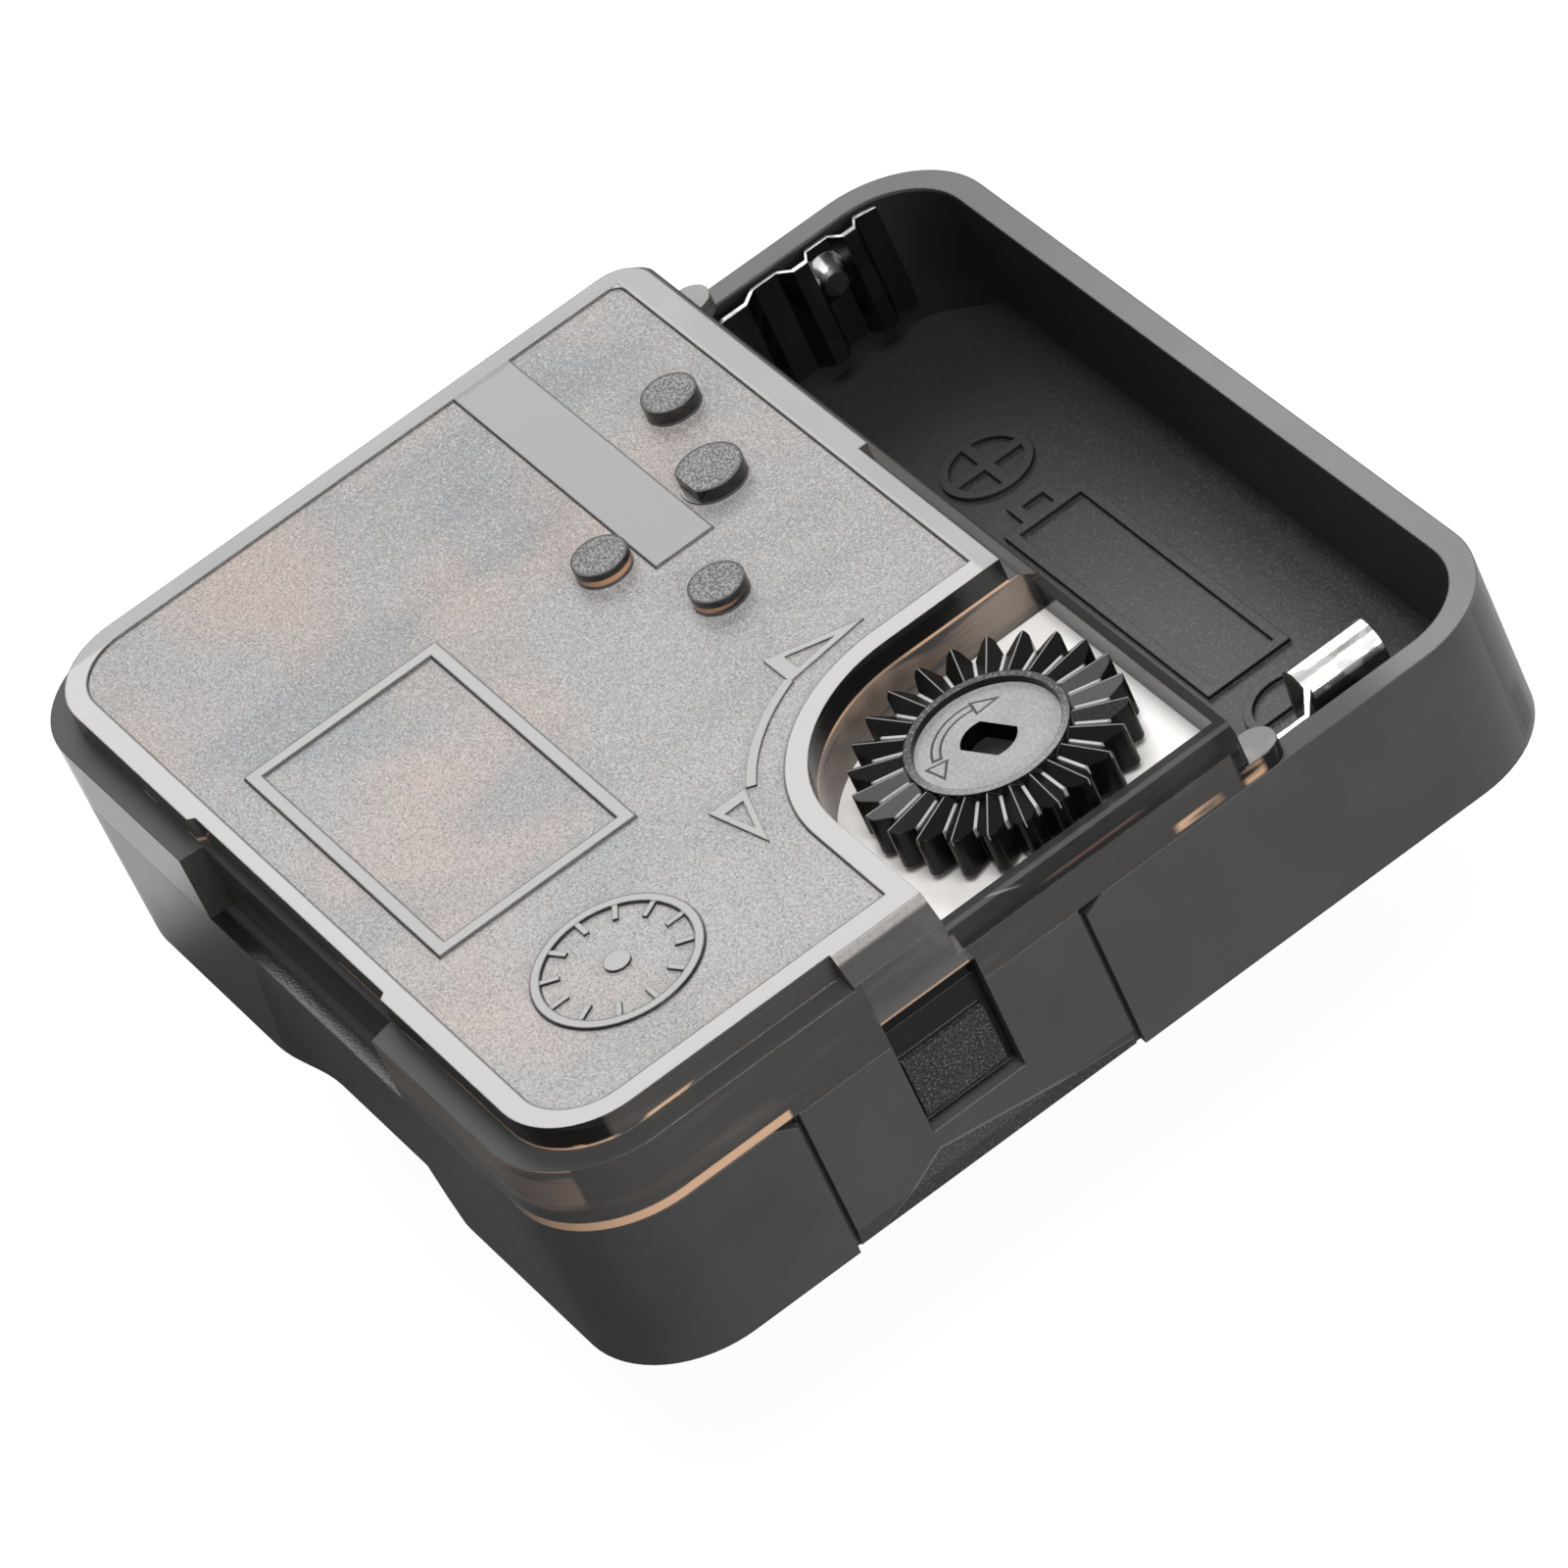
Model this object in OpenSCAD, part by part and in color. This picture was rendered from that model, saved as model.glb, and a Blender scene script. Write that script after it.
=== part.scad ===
// Quartz clock movement for one AA cell. Millimetres.
// The origin is on the hand shaft, at the dial face of the case. +Z points away from the dial.
// +Y points to the battery bay and +X to the latch side.

/* [Case] */
// Side of the square case
case_w = 56; // [56:0.5:60]
// Radius of the case corners
case_corner = 6; // [5:0.5:8]
// Thickness of the case walls
case_wall = 1.4; // [1.2:0.1:1.6]
// Height of the case wall above the dial face
case_h = 9.3; // [9.2:0.1:9.6]
// Thickness of the case floor under the wheels
floor_t = 1.2; // [1:0.1:1.3]
// Size of the chamfer along the case's lower edge on the latch side
foot_chamfer = 0.4; // [0.2:0.1:0.6]

/* [Battery bay] */
// Diameter of the cell
cell_d = 14.5; // [14.2:0.1:14.6]
// Play of the cell on each side
cell_play = 0.1; // [0.05:0.05:0.2]
// Thickness of the bay floor
bay_floor_t = 0.9; // [0.8:0.1:1.2]
// Radius between the bay floor and its long walls
cradle_r = 1.2; // [0.8:0.1:2]
// Height of the raised polarity marks on the bay floor
mark_h = 0.25; // [0.15:0.05:0.3]
// Width of their lines
mark_line = 0.6; // [0.4:0.1:0.8]
// Thickness of the wall between the bay and the wheels
partition_t = 1.2; // [1:0.1:1.3]

/* [Cover] */
// Height of the cover's top face above the dial face
cover_top_z = 14.9; // [14.8:0.1:15.4]
// Thickness of the cover's top plate
cover_top_t = 1.2; // [1:0.1:1.3]
// Thickness of the cover's side walls
cover_wall = 1.2; // [1:0.1:1.3]
// Thickness of the cover's wall along the bay
cover_bay_wall = 0.8; // [0.7:0.1:0.9]
// Height of the step in the cover's sides
ledge_z = 13.4; // [13.2:0.1:13.5]
// Width of the step in the cover's sides
ledge_w = 1.4; // [1.2:0.1:1.6]
// Width of the step along the bay
bay_ledge_w = 1.05; // [0.9:0.05:1.3]
// Fall of the step along the bay
bay_ledge_fall = 0.7; // [0.4:0.1:0.7]
// Corner radius of the top plate next to the bay
bay_corner_r = 2; // [1.5:0.5:3]
// Width of the smooth band round the grained panel
band_w = 1.2; // [1:0.1:1.5]
// Depth of the grained panel
panel_depth = 0.12; // [0.08:0.02:0.2]
// Half width of the gate notch in the bay edge
gate_half = 3; // [2:0.5:4]
// Depth of the gate notch
gate_depth = 0.5; // [0.3:0.1:0.7]

/* [Knob tray] */
// Knob axis, measured along X
knob_x = 18.9; // [18.8:0.1:19]
// Knob axis, measured along Y
knob_y = 3.45; // [3.3:0.05:3.5]
// Radius of the tray's round corner
tray_r = 8.6; // [8.4:0.1:8.8]
// Height of the tray floor
tray_z = 10.75; // [10.7:0.05:10.9]
// Thickness of the tray floor
tray_floor_t = 0.9; // [0.8:0.1:1]
// Thickness of the tray's inner wall
tray_wall = 1; // [0.8:0.1:1.2]
// Height of the tray's two outer walls
tray_rim_z = 12.6; // [12.4:0.1:12.8]
// Thickness of the tray's rim along the bay
tray_bay_rim = 0.5; // [0.4:0.1:0.6]
// Drop of the tray's rim towards the outside
tray_rim_drop = 1.1; // [0.8:0.1:1.3]

/* [Marks on the cover] */
// Height of the round bosses
boss_h = 0.8; // [0.6:0.1:1]
// Radius of the round bosses
boss_r = 1.5; // [1.4:0.05:1.6]
// Radius of the large boss
big_boss_r = 1.8; // [1.7:0.05:2]
// Height of the raised lines
line_h = 0.04; // [0.02:0.01:0.1]
// Width of the raised frame line
frame_line = 0.7; // [0.5:0.1:0.9]
// Length of the raised frame
frame_l = 20; // [18:0.5:22]
// Width of the raised frame
frame_d = 11.7; // [10:0.5:13]
// Centre of the raised frame, measured along Y
frame_y = -17.25; // [-18:0.25:-16.5]
// Outer radius of the raised ring
ring_r = 4.4; // [4:0.1:4.8]
// Centre of the raised ring, measured along X
ring_x = 17.9; // [17.5:0.1:18.3]
// Centre of the raised ring, measured along Y
ring_y = -17.4; // [-18:0.1:-17]
// Radius of the double arrow round the tray
arrow_r = 11.2; // [11:0.1:11.5]
// Width of its line
arrow_line = 0.55; // [0.4:0.05:0.7]
// Length of the smooth strip
strip_l = 20.7; // [18:0.5:21]
// Width of the smooth strip
strip_d = 3.5; // [3:0.25:4]
// Centre of the smooth strip, measured along Y
strip_y = 0.65; // [0.4:0.05:0.9]

/* [Latch and grip] */
// Width of the latch tongue
tongue_w = 5.5; // [5:0.25:6]
// Centre of the latch, measured along Y
latch_y = -7.65; // [-8:0.05:-7]
// Height of the tongue's lower edge
tongue_z = 10.7; // [10.4:0.1:10.9]
// Depth of the latch pocket
latch_depth = 1; // [0.8:0.1:1.1]
// Height of the latch pocket's lower edge
latch_low_z = 3.4; // [3:0.1:3.8]
// Height of the catch's lower face
catch_low_z = 4.1; // [3.9:0.1:4.4]
// Height of the catch's upper face
catch_high_z = 7.6; // [7:0.1:8]
// Width of the flexible band that carries the catch
band_span = 16.8; // [16:0.2:17.6]
// Depth of the two grooves beside the band
groove_d = 0.5; // [0.3:0.1:0.7]
// Width of the finger grip on the side
grip_w = 20; // [18:0.5:22]
// Depth of the finger grip
grip_depth = 0.8; // [0.6:0.05:1]
// Radius of the cover's two lugs on the case rim
lug_r = 1.1; // [0.9:0.05:1.2]
// Height of the cover's two lugs
lug_h = 1; // [0.8:0.1:1.2]

/* [Hand shaft] */
// Radius of the threaded bush
bush_r = 4; // [3.9:0.05:4.1]
// Length of the threaded bush below the dial face
bush_l = 5.5; // [4.5:0.5:7]
// Pitch of the thread
thread_pitch = 0.75; // [0.75:0.05:1]
// Depth of the thread
thread_depth = 0.35; // [0.25:0.05:0.4]
// Length of the bush's plain collar under the dial face
collar_l = 1; // [0.8:0.1:1.5]
// Radius of the bush's flange inside the case
flange_r = 5.2; // [5:0.1:5.6]
// Thickness of the bush's flange
flange_t = 0.8; // [0.7:0.1:0.8]
// Radius of the hour tube
hour_tube_r = 2.5; // [2.45:0.05:2.6]
// Length of the hour tube below the bush
hour_tube_l = 2.5; // [2:0.25:3]
// Radius of the minute shaft
minute_r = 1.75; // [1.7:0.01:1.8]
// Length of the minute shaft below the hour tube
minute_l = 2.5; // [2:0.25:3]
// Radius of the seconds arbor
seconds_r = 0.5; // [0.48:0.01:0.55]
// Length of the seconds arbor below the minute shaft
seconds_l = 2; // [1.5:0.25:3]
// Step between the free end of each shaft and its hidden part, on the radius
seat_step = 0.2; // [0.2:0.01:0.22]
// Running clearance of the shafts, on the radius
run_gap = 0.06; // [0.04:0.01:0.08]

/* [Going train] */
// Rotor axis, measured along X
rotor_x = -14.5; // [-14.6:0.05:-14.4]
// Rotor axis, measured along Y
rotor_y = 6.1; // [6:0.05:6.1]
// Intermediate wheel's axis, measured along X
inter_x = -7.75; // [-7.8:0.05:-7.7]
// Intermediate wheel's axis, measured along Y
inter_y = 4.4; // [4.35:0.05:4.45]
// Third wheel's axis, measured along X
third_x = -7.05; // [-7.1:0.05:-7]
// Third wheel's axis, measured along Y
third_y = -2.8; // [-2.85:0.05:-2.75]
// Thickness of the wheels
wheel_t = 0.5; // [0.4:0.05:0.6]
// Radius of the pivots
pivot_r = 0.3; // [0.28:0.01:0.32]
// Endshake of the arbors
endshake = 0.3; // [0.25:0.05:0.3]
// Height of the tooth above the pitch circle, in modules
addendum = 0.8; // [0.7:0.05:0.85]
// Depth of the tooth below the pitch circle, in modules
dedendum = 1.15; // [1.1:0.05:1.2]

/* [Motion work] */
// Distance from the hand shaft to the motion wheel
motion_d = 8; // [8:0.05:8.1]
// Radius of the motion wheel's stud
stud_r = 0.7; // [0.65:0.05:0.8]
// Thickness of the motion and setting wheels
motion_t = 0.7; // [0.6:0.05:0.7]

/* [Motor] */
// Radius of the rotor magnet
magnet_r = 2.4; // [2.2:0.05:2.45]
// Air gap round the magnet
air_gap = 0.35; // [0.3:0.05:0.4]
// Thickness of the stator plates
stator_t = 0.8; // [0.7:0.05:0.8]
// Radius of the stator round the magnet
stator_r = 4.2; // [4.1:0.05:4.25]
// Distance of the coil's axis from the side of the case
coil_in = 8; // [7.8:0.1:8.1]
// Length of the bobbin
bobbin_l = 22; // [21:0.25:22]
// Radius of the bobbin flanges
bobbin_r = 4.1; // [4:0.05:4.2]
// Radius of the winding
winding_r = 3.7; // [3.4:0.05:3.8]
// Width of the coil core
core_w = 2.6; // [2.2:0.1:2.8]
// Thickness of the coil core
core_t = 1; // [0.8:0.05:1]

/* [Circuit] */
// Thickness of the circuit board
board_t = 0.8; // [0.7:0.05:0.9]
// Height of the board's lower face
board_z = 6.8; // [6.7:0.05:6.9]
// Radius of the chip's drop of resin
chip_r = 3; // [2.5:0.1:3.2]
// Radius of the quartz crystal's can
crystal_r = 1; // [0.9:0.05:1.1]
// Length of the quartz crystal's can
crystal_l = 6; // [5.5:0.1:6.2]
// Thickness of the contact metal
contact_t = 0.3; // [0.25:0.05:0.3]
// Distance of the contacts' upper edge below the case rim
contact_drop = 0.3; // [0.2:0.1:0.6]

/* [Setting knob] */
// Radius over the knob's teeth
knob_r = 7.05; // [6.9:0.05:7.1]
// Number of the knob's teeth
knob_teeth = 24; // [20:1:26]
// Height of the knob's lower face above the tray
knob_gap = 0.45; // [0.35:0.05:0.5]
// Height of the knob to the top of its ring
knob_h = 2.6; // [2.4:0.05:2.7]
// Outer radius of the knob's ring
knob_ring_r = 4.2; // [4:0.05:4.4]
// Width of the knob's ring
knob_ring_w = 0.4; // [0.3:0.05:0.5]
// Half width of the flat floor of the valley between two teeth
valley_w = 0.08; // [0.04:0.01:0.12]
// Rise of the valley's sides for each mm across
valley_slope = 0.7; // [0.5:0.05:0.9]
// Radius of the key hole in the knob
key_r = 1.45; // [1.4:0.05:1.5]
// Distance between the key hole's flats
key_flat = 1.95; // [1.75:0.05:2.05]

/* [Hidden] */
$fn = 48;

// Small overlap that lets a cut pass through a face
e = 0.01;
half = case_w / 2;
inner = half - case_wall;

// Battery bay
bay_y1 = inner;
bay_y0 = bay_y1 - cell_d - 2 * cell_play;
part_y = bay_y0 - partition_t;

// Cover
step_x = half - ledge_w;
step_y1 = bay_y0 - bay_ledge_w;
cover_in = half - cover_wall;
cover_in_y1 = bay_y0 - cover_bay_wall;
top_under_z = cover_top_z - cover_top_t;
tray_x0 = knob_x - tray_r;
tray_y0 = knob_y - tray_r;
tray_y1 = bay_y0 - tray_bay_rim;
tray_x1 = step_x;
panel_z = cover_top_z - panel_depth;
socket_l = 0.8;
socket_z = top_under_z - socket_l;
socket_r = 1.2;
shoulder_z = socket_z - endshake;
pivot_hole_r = pivot_r + 0.05;
pivot_top_z = cover_top_z - 0.5;

// Latch
latch_y0 = latch_y - tongue_w / 2;
latch_y1 = latch_y + tongue_w / 2;
latch_side = 0.4;
pocket_y0 = latch_y0 + latch_side;
pocket_y1 = latch_y1 + latch_side;
latch_x = half - latch_depth;
band_y = latch_y + 0.43;

// Gear counts, and the modules that the distances between the axes give
motion_z0 = 3.5;
function dist(x, y) = sqrt(x * x + y * y);
d_ri = dist(rotor_x - inter_x, rotor_y - inter_y);
d_is = dist(inter_x, inter_y);
d_st = dist(third_x, third_y);
rotor_t1 = 6;
inter_t1 = 60;
inter_t2 = 12;
second_t1 = 36;
second_t2 = 10;
third_t1 = 60;
third_t2 = 8;
centre_t1 = 80;
m_ri = 2 * d_ri / (rotor_t1 + inter_t1);
m_is = 2 * d_is / (inter_t2 + second_t1);
m_st = 2 * d_st / (second_t2 + third_t1);
m_tc = 2 * d_st / (third_t2 + centre_t1);
cannon_t = 10;
motion_t1 = 30;
motion_t2 = 10;
hour_t = 40;
m_cm = 2 * motion_d / (cannon_t + motion_t1);
m_mh = 2 * motion_d / (motion_t2 + hour_t);
setting_t = 28;
d_mk = m_cm * (motion_t1 + setting_t) / 2;
d_knob = dist(knob_x, knob_y);
knob_dir = atan2(knob_y, knob_x);
motion_lean = acos((motion_d * motion_d + d_knob * d_knob - d_mk * d_mk) / (2 * motion_d * d_knob));
motion_dir = knob_dir - motion_lean;
motion_x = motion_d * cos(motion_dir);
motion_y = motion_d * sin(motion_dir);

// Directions of the meshes, and the phases that set each tooth in its gap
dir_ri = atan2(inter_y - rotor_y, inter_x - rotor_x);
dir_is = atan2(-inter_y, -inter_x);
dir_st = atan2(third_y, third_x);
dir_tc = dir_st + 180;
dir_cm = motion_dir;
dir_mk = atan2(knob_y - motion_y, knob_x - motion_x);
dir_mh = motion_dir + 180;
function mate(dir, phase, ta, tb) = dir + 180 - (phase - dir) * ta / tb - 180 / tb;
phase_motion = mate(dir_cm, dir_cm, cannon_t, motion_t1);
phase_setting = mate(dir_mk, phase_motion, motion_t1, setting_t);

// Levels of the wheels
flange_z = floor_t + flange_t;
hour_z = flange_z + endshake;
hour_wheel_t = motion_t;
cannon_z0 = hour_z + hour_wheel_t + endshake;
cannon_z1 = motion_z0 + motion_t + 0.1;
spring_z = cannon_z1 + 0.05;
spring_t = 0.4;
centre_z = spring_z + spring_t + 0.25;
neck_z = centre_z + wheel_t + 0.15;
plate_z = centre_z + wheel_t + 0.5;
plate_t = 0.5;
third_z = plate_z + plate_t + 0.4;
second_z = third_z + wheel_t + 0.8;
inter_z = second_z + wheel_t + 0.9;
pinion_over = 0.2;
neck_r = 1.2;
spring_r = 2.1;

// Hand shaft: the hidden part of each shaft is a little thicker than its free end
bush_seat_r = bush_r + 0.2;
hour_hidden_r = hour_tube_r + seat_step;
minute_hidden_r = minute_r + seat_step;
seconds_hidden_r = seconds_r + seat_step;
hour_tube_z = -bush_l - hour_tube_l;
minute_z = hour_tube_z - minute_l;
seconds_z = minute_z - seconds_l;

// Motor
coil_y = -half + coil_in;
stator_z = 4.4;
magnet_z0 = stator_z - 0.4;
magnet_z1 = stator_z + stator_t + 0.4;
core_z = stator_z + stator_t;
coil_z = core_z + core_t / 2;
bobbin_x0 = rotor_x - 2.5;
bobbin_x1 = bobbin_x0 + bobbin_l;
leg_gap = 0.4;
left_leg_x0 = bobbin_x0 - leg_gap - 4;
right_leg_x1 = bobbin_x1 + leg_gap + 3.6;
screw_l_x = left_leg_x0 + 2;
screw_r_x = right_leg_x1 - 1.8;
screw_r = 0.6;
screw_head_r = 1.2;
screw_head_t = 0.7;
screw_l = 3;
bridge_y = coil_y + 6;
bridge_w = 2.5;
flange_w = 0.8;
bobbin_tube_r = 2;
fit = 0.05;

// Middle plate
plate_x0 = -9.6;
plate_x1 = 9;
plate_y0 = -10.6;
plate_y1 = part_y - 0.5;
plate_posts = [[-6.5, plate_y0 + 1.1], [7, plate_y0 + 1.1], [-5.8, plate_y1 - 1.1], [7.8, plate_y1 - 1.1]];
post_r = 0.9;

// Circuit
board_x0 = 10.2;
board_x1 = inner - 1;
board_y0 = -inner + 1.6;
board_y1 = part_y - 0.7;
board_top = board_z + board_t;
board_posts = [[12.5, board_y0 + 2], [board_x1 - 2, board_y0 + 2], [board_x1 - 1.2, board_y1 - 1.2],
  [12, board_y1 - 1.2]];
board_hole_r = 3;
chip_x = 17.5;
chip_y = -13;
crystal_x = 13.5;
crystal_y = -21.5;
lead_r = 0.15;
terminal_y = 2;
terminal_w = 0.6;
strap_h = 1.4;
strap_z = board_top;
solder_r = 0.6;

// Knob
knob_z0 = tray_z + knob_gap;
knob_z1 = knob_z0 + knob_h;
knob_face_z = knob_z1 - 0.4;
knob_root_r = knob_r - 1.15;
knob_phase = 12;
tip_r = 0.42;
key_turn = 27;
// The tops of the teeth fall outwards from the ring
valley_fall = 0.12;
valley_lean = atan(valley_fall);
ridge_h = valley_slope * (knob_ring_r * sin(180 / knob_teeth) - valley_w);
valley_z = knob_z1 - 0.05 - ridge_h + valley_fall * knob_ring_r;
arbor_r = 1.9;
arbor_low_r = 0.8;
arbor_low_z = 2.6;

// Battery contacts
contact_z = case_h - contact_drop;
pos_y0 = bay_y0 + 1.7;
pos_k = (bay_y1 - bay_y0 - 4.7) / 10;
pos_y1 = pos_y0 + 10 * pos_k;
neg_y0 = pos_y0;
leaf_y0 = neg_y0 + 3.4;
leaf_y1 = leaf_y0 + 4.5;
leaf_r = 1.35;
leaf_x = inner - 3.2;
leaf_z = contact_z - 1;
contact_low_z = bay_floor_t + cradle_r + 0.3;
mark_x0 = -7.7;
mark_l = 19.3;
mark_d = 5.1;
mark_plus_x = -13.3;
mark_minus_x = 15.5;
strap_y = part_y - 0.2 - contact_t;

// A square plate outline with round corners
module rounded(x0, y0, x1, y1, r) {
  translate([x0 + r, y0]) square([x1 - x0 - 2 * r, y1 - y0]);
  translate([x0, y0 + r]) square([x1 - x0, y1 - y0 - 2 * r]);
  for (x = [x0 + r, x1 - r], y = [y0 + r, y1 - r]) translate([x, y]) circle(r);
}

// The same outline with its own radius at the two corners next to the bay
module cover_outline(x, y0, y1, r, r_bay) {
  translate([-x + r, y0]) square([2 * x - 2 * r, r]);
  translate([-x, y0 + r]) square([2 * x, y1 - y0 - r - r_bay]);
  translate([-x + r_bay, y1 - r_bay - e]) square([2 * x - 2 * r_bay, r_bay + e]);
  for (s = [-1, 1]) {
    translate([s * (x - r), y0 + r]) circle(r);
    translate([s * (x - r_bay), y1 - r_bay]) circle(r_bay);
  }
}

// The knob tray's opening, grown by g
module tray_outline(g) {
  x0 = tray_x0 - g;
  y0 = tray_y0 - g;
  translate([knob_x, y0]) square([half - knob_x + 1, bay_y0 - y0 + 1]);
  translate([x0, knob_y]) square([half - x0 + 1, bay_y0 - knob_y + 1]);
  translate([knob_x, knob_y]) circle(tray_r + g);
}

// A layer between two heights
module layer(z0, z1) {
  translate([0, 0, z0]) linear_extrude(z1 - z0) children();
}

// A box between two corners
module block(a, b) {
  translate(a) cube(b - a);
}

// A pin along Z between two heights
module pin(x, y, z0, z1, r) {
  translate([x, y, z0]) cylinder(h = z1 - z0, r = r);
}

// A bar with a section drawn in X and Z, running along Y
module along_y(y0, y1) {
  translate([0, y1, 0]) rotate([90, 0, 0]) linear_extrude(y1 - y0) children();
}

// A gear outline: four points on each tooth
function gear_points(teeth, m) = [for (i = [0:teeth - 1], k = [0:3])
  let (
    tip = (k == 1 || k == 2),
    r = m * teeth / 2 + (tip ? addendum : -dedendum) * m,
    a = 360 / teeth * (i + [-0.25, -0.1, 0.1, 0.25][k])
  ) [r * cos(a), r * sin(a)]];

module gear(teeth, m, z0, z1, phase) {
  translate([0, 0, z0]) rotate([0, 0, phase]) linear_extrude(z1 - z0) polygon(gear_points(teeth, m));
}

// The shallow grip in one side of the case. It is deepest at the dial face and runs out at the rim.
module grip() {
  w = grip_w / 2;
  steps = 8;
  wave = [for (i = [0:steps]) [i / steps, (1 - cos(180 * i / steps)) / 2]];
  translate([0, -half, 0]) rotate([atan(grip_depth / case_h), 0, 0]) layer(-1, case_h + 1)
    polygon(concat([[-w, -3]],
      [for (p = wave) [-w + p[0] * w * 0.55, grip_depth * p[1]]],
      [for (i = [steps:-1:0]) [w - wave[i][0] * w * 0.48, grip_depth * wave[i][1]]],
      [[w, -3]]));
}

module case_posts() {
  for (p = plate_posts) pin(p[0], p[1], floor_t - e, plate_z, post_r);
  for (p = board_posts) pin(p[0], p[1], floor_t - e, board_z, post_r);
  for (x = [screw_l_x, screw_r_x]) pin(x, coil_y, floor_t - e, stator_z, 1.6);
  pin(rotor_x, rotor_y, floor_t - e, magnet_z0 - endshake - 0.2, socket_r);
  pin(third_x, third_y, floor_t - e, centre_z - pinion_over - endshake, 0.6);
  pin(motion_x, motion_y, floor_t - e, motion_z0 + motion_t + 0.3, stud_r);
  pin(knob_x, knob_y, floor_t - e, arbor_low_z - endshake / 2, 1.8);
}

// Raised outline of a cell with its two poles, lying on the bay floor
module polarity_marks() {
  w = mark_d / 2;
  layer(bay_floor_t - e, bay_floor_t + mark_h) translate([0, (bay_y0 + bay_y1) / 2]) {
    difference() {
      translate([mark_x0, -w]) square([mark_l, mark_d]);
      translate([mark_x0 + mark_line, -w + mark_line]) square([mark_l - 2 * mark_line, mark_d - 2 * mark_line]);
    }
    difference() {
      translate([mark_x0 - 1.75, -w / 2]) square([1.8, w]);
      translate([mark_x0 - 1.75 + mark_line, -w / 2 + mark_line]) square([1.8 - mark_line, w - 2 * mark_line]);
    }
    for (x = [mark_plus_x, mark_minus_x]) translate([x, 0]) {
      difference() {
        circle(w);
        circle(w - 0.5);
      }
      square([0.6, mark_d - 0.6], center = true);
    }
    translate([mark_plus_x, 0]) square([mark_d - 0.6, 0.6], center = true);
  }
}

module front_case() color("#1c1c1e") {
  polarity_marks();
  difference() {
    layer(0, case_h) rounded(-half, -half, half, half, case_corner);
    difference() {
      layer(floor_t, case_h + e) intersection() {
        rounded(-inner, -inner, inner, inner, case_corner - case_wall);
        translate([-half, -half]) square([case_w, part_y + half]);
      }
      // Thicker walls behind the grip and behind the latch pocket
      block([-grip_w / 2 - 1.5, -inner - e, 0], [grip_w / 2 + 1.2, -inner + grip_depth, case_h]);
      block([inner - latch_depth, latch_y0 - 1.5, 0], [inner + e, latch_y1 + 1.5, case_h]);
    }
    // The bay, with a rounded change from the floor to its long walls
    difference() {
      layer(bay_floor_t, case_h + e) intersection() {
        rounded(-inner, -inner, inner, inner, case_corner - case_wall);
        translate([-half, bay_y0]) square([case_w, half]);
      }
      for (s = [0, 1]) translate([0, s ? bay_y1 : bay_y0, bay_floor_t]) mirror([0, s, 0])
        difference() {
          block([-half, -e, -e], [half, cradle_r, cradle_r]);
          translate([-half - 1, cradle_r, cradle_r]) rotate([0, 90, 0])
            cylinder(h = case_w + 2, r = cradle_r);
        }
    }
    pin(0, 0, -e, floor_t + e, bush_seat_r);
    grip();
    // Latch pocket, with the catch left standing in it
    difference() {
      block([latch_x, pocket_y0, latch_low_z], [half + e, pocket_y1, case_h + e]);
      block([latch_x - e, pocket_y0 + 0.2, catch_low_z], [latch_x + 0.6, pocket_y1 - 0.5, catch_high_z]);
    }
    // Grooves beside the flexible band, with a nick at the top of each
    for (s = [-1, 1]) translate([0, band_y + s * band_span / 2, 0]) {
      block([half - groove_d, -0.15, -e], [half + e, 0.15, case_h + e]);
      translate([half - 0.8, 0, 0]) rotate([0, 90, 0])
        linear_extrude(1) polygon([[-case_h - e, 0], [-case_h - e, s * 1.3], [-case_h + 0.8, 0]]);
    }
    // Chamfer along the lower edge of the band
    along_y(band_y - band_span / 2, band_y + band_span / 2)
      polygon([[half - foot_chamfer, -e], [half + e, -e], [half + e, foot_chamfer * 3]]);
    // Slots that lead the contact straps through the partition
    block([-inner + 0.2, part_y - e, strap_z - 0.15], [-inner + 1.2, bay_y0 + e, case_h + e]);
    block([inner - 1, part_y - e, strap_z - 0.15], [inner, bay_y0 + e, case_h + e]);
    for (x = [screw_l_x, screw_r_x]) pin(x, coil_y, stator_z - screw_l, stator_z + e, screw_r);
  }
  difference() {
    case_posts();
    pin(rotor_x, rotor_y, floor_t + 0.5, stator_z, pivot_hole_r);
    pin(third_x, third_y, floor_t + 0.5, centre_z, pivot_hole_r);
    pin(knob_x, knob_y, floor_t + 0.1, arbor_low_z, arbor_low_r + run_gap);
    for (x = [screw_l_x, screw_r_x]) pin(x, coil_y, floor_t + 0.1, stator_z + e, screw_r);
  }
}

// Outer form of the cover, in two steps
module cover_body() {
  layer(case_h, ledge_z) cover_outline(half, -half, bay_y0, case_corner, 0.5);
  layer(ledge_z - e, cover_top_z) cover_outline(step_x, -step_x, step_y1, case_corner - ledge_w, bay_corner_r);
}

// Space inside the cover
module cover_space() {
  layer(case_h - e, ledge_z - cover_top_t)
    cover_outline(inner, -inner, cover_in_y1, case_corner - case_wall, 0.4);
  layer(ledge_z - cover_top_t - e, top_under_z)
    cover_outline(step_x - cover_wall, -step_x + cover_wall, step_y1 - cover_wall, case_corner - ledge_w - 1, 1);
}

module frame_mark() {
  difference() {
    square([frame_l, frame_d], center = true);
    square([frame_l - 2 * frame_line, frame_d - 2 * frame_line], center = true);
  }
}

// Curved line round the knob's axis, between two angles
module arc_line(r, line, a0, a1) {
  n = 12;
  polygon(concat([for (i = [0:n]) let (a = a0 + (a1 - a0) * i / n) [(r + line) * cos(a), (r + line) * sin(a)]],
    [for (i = [n:-1:0]) let (a = a0 + (a1 - a0) * i / n) [r * cos(a), r * sin(a)]]));
}

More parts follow.
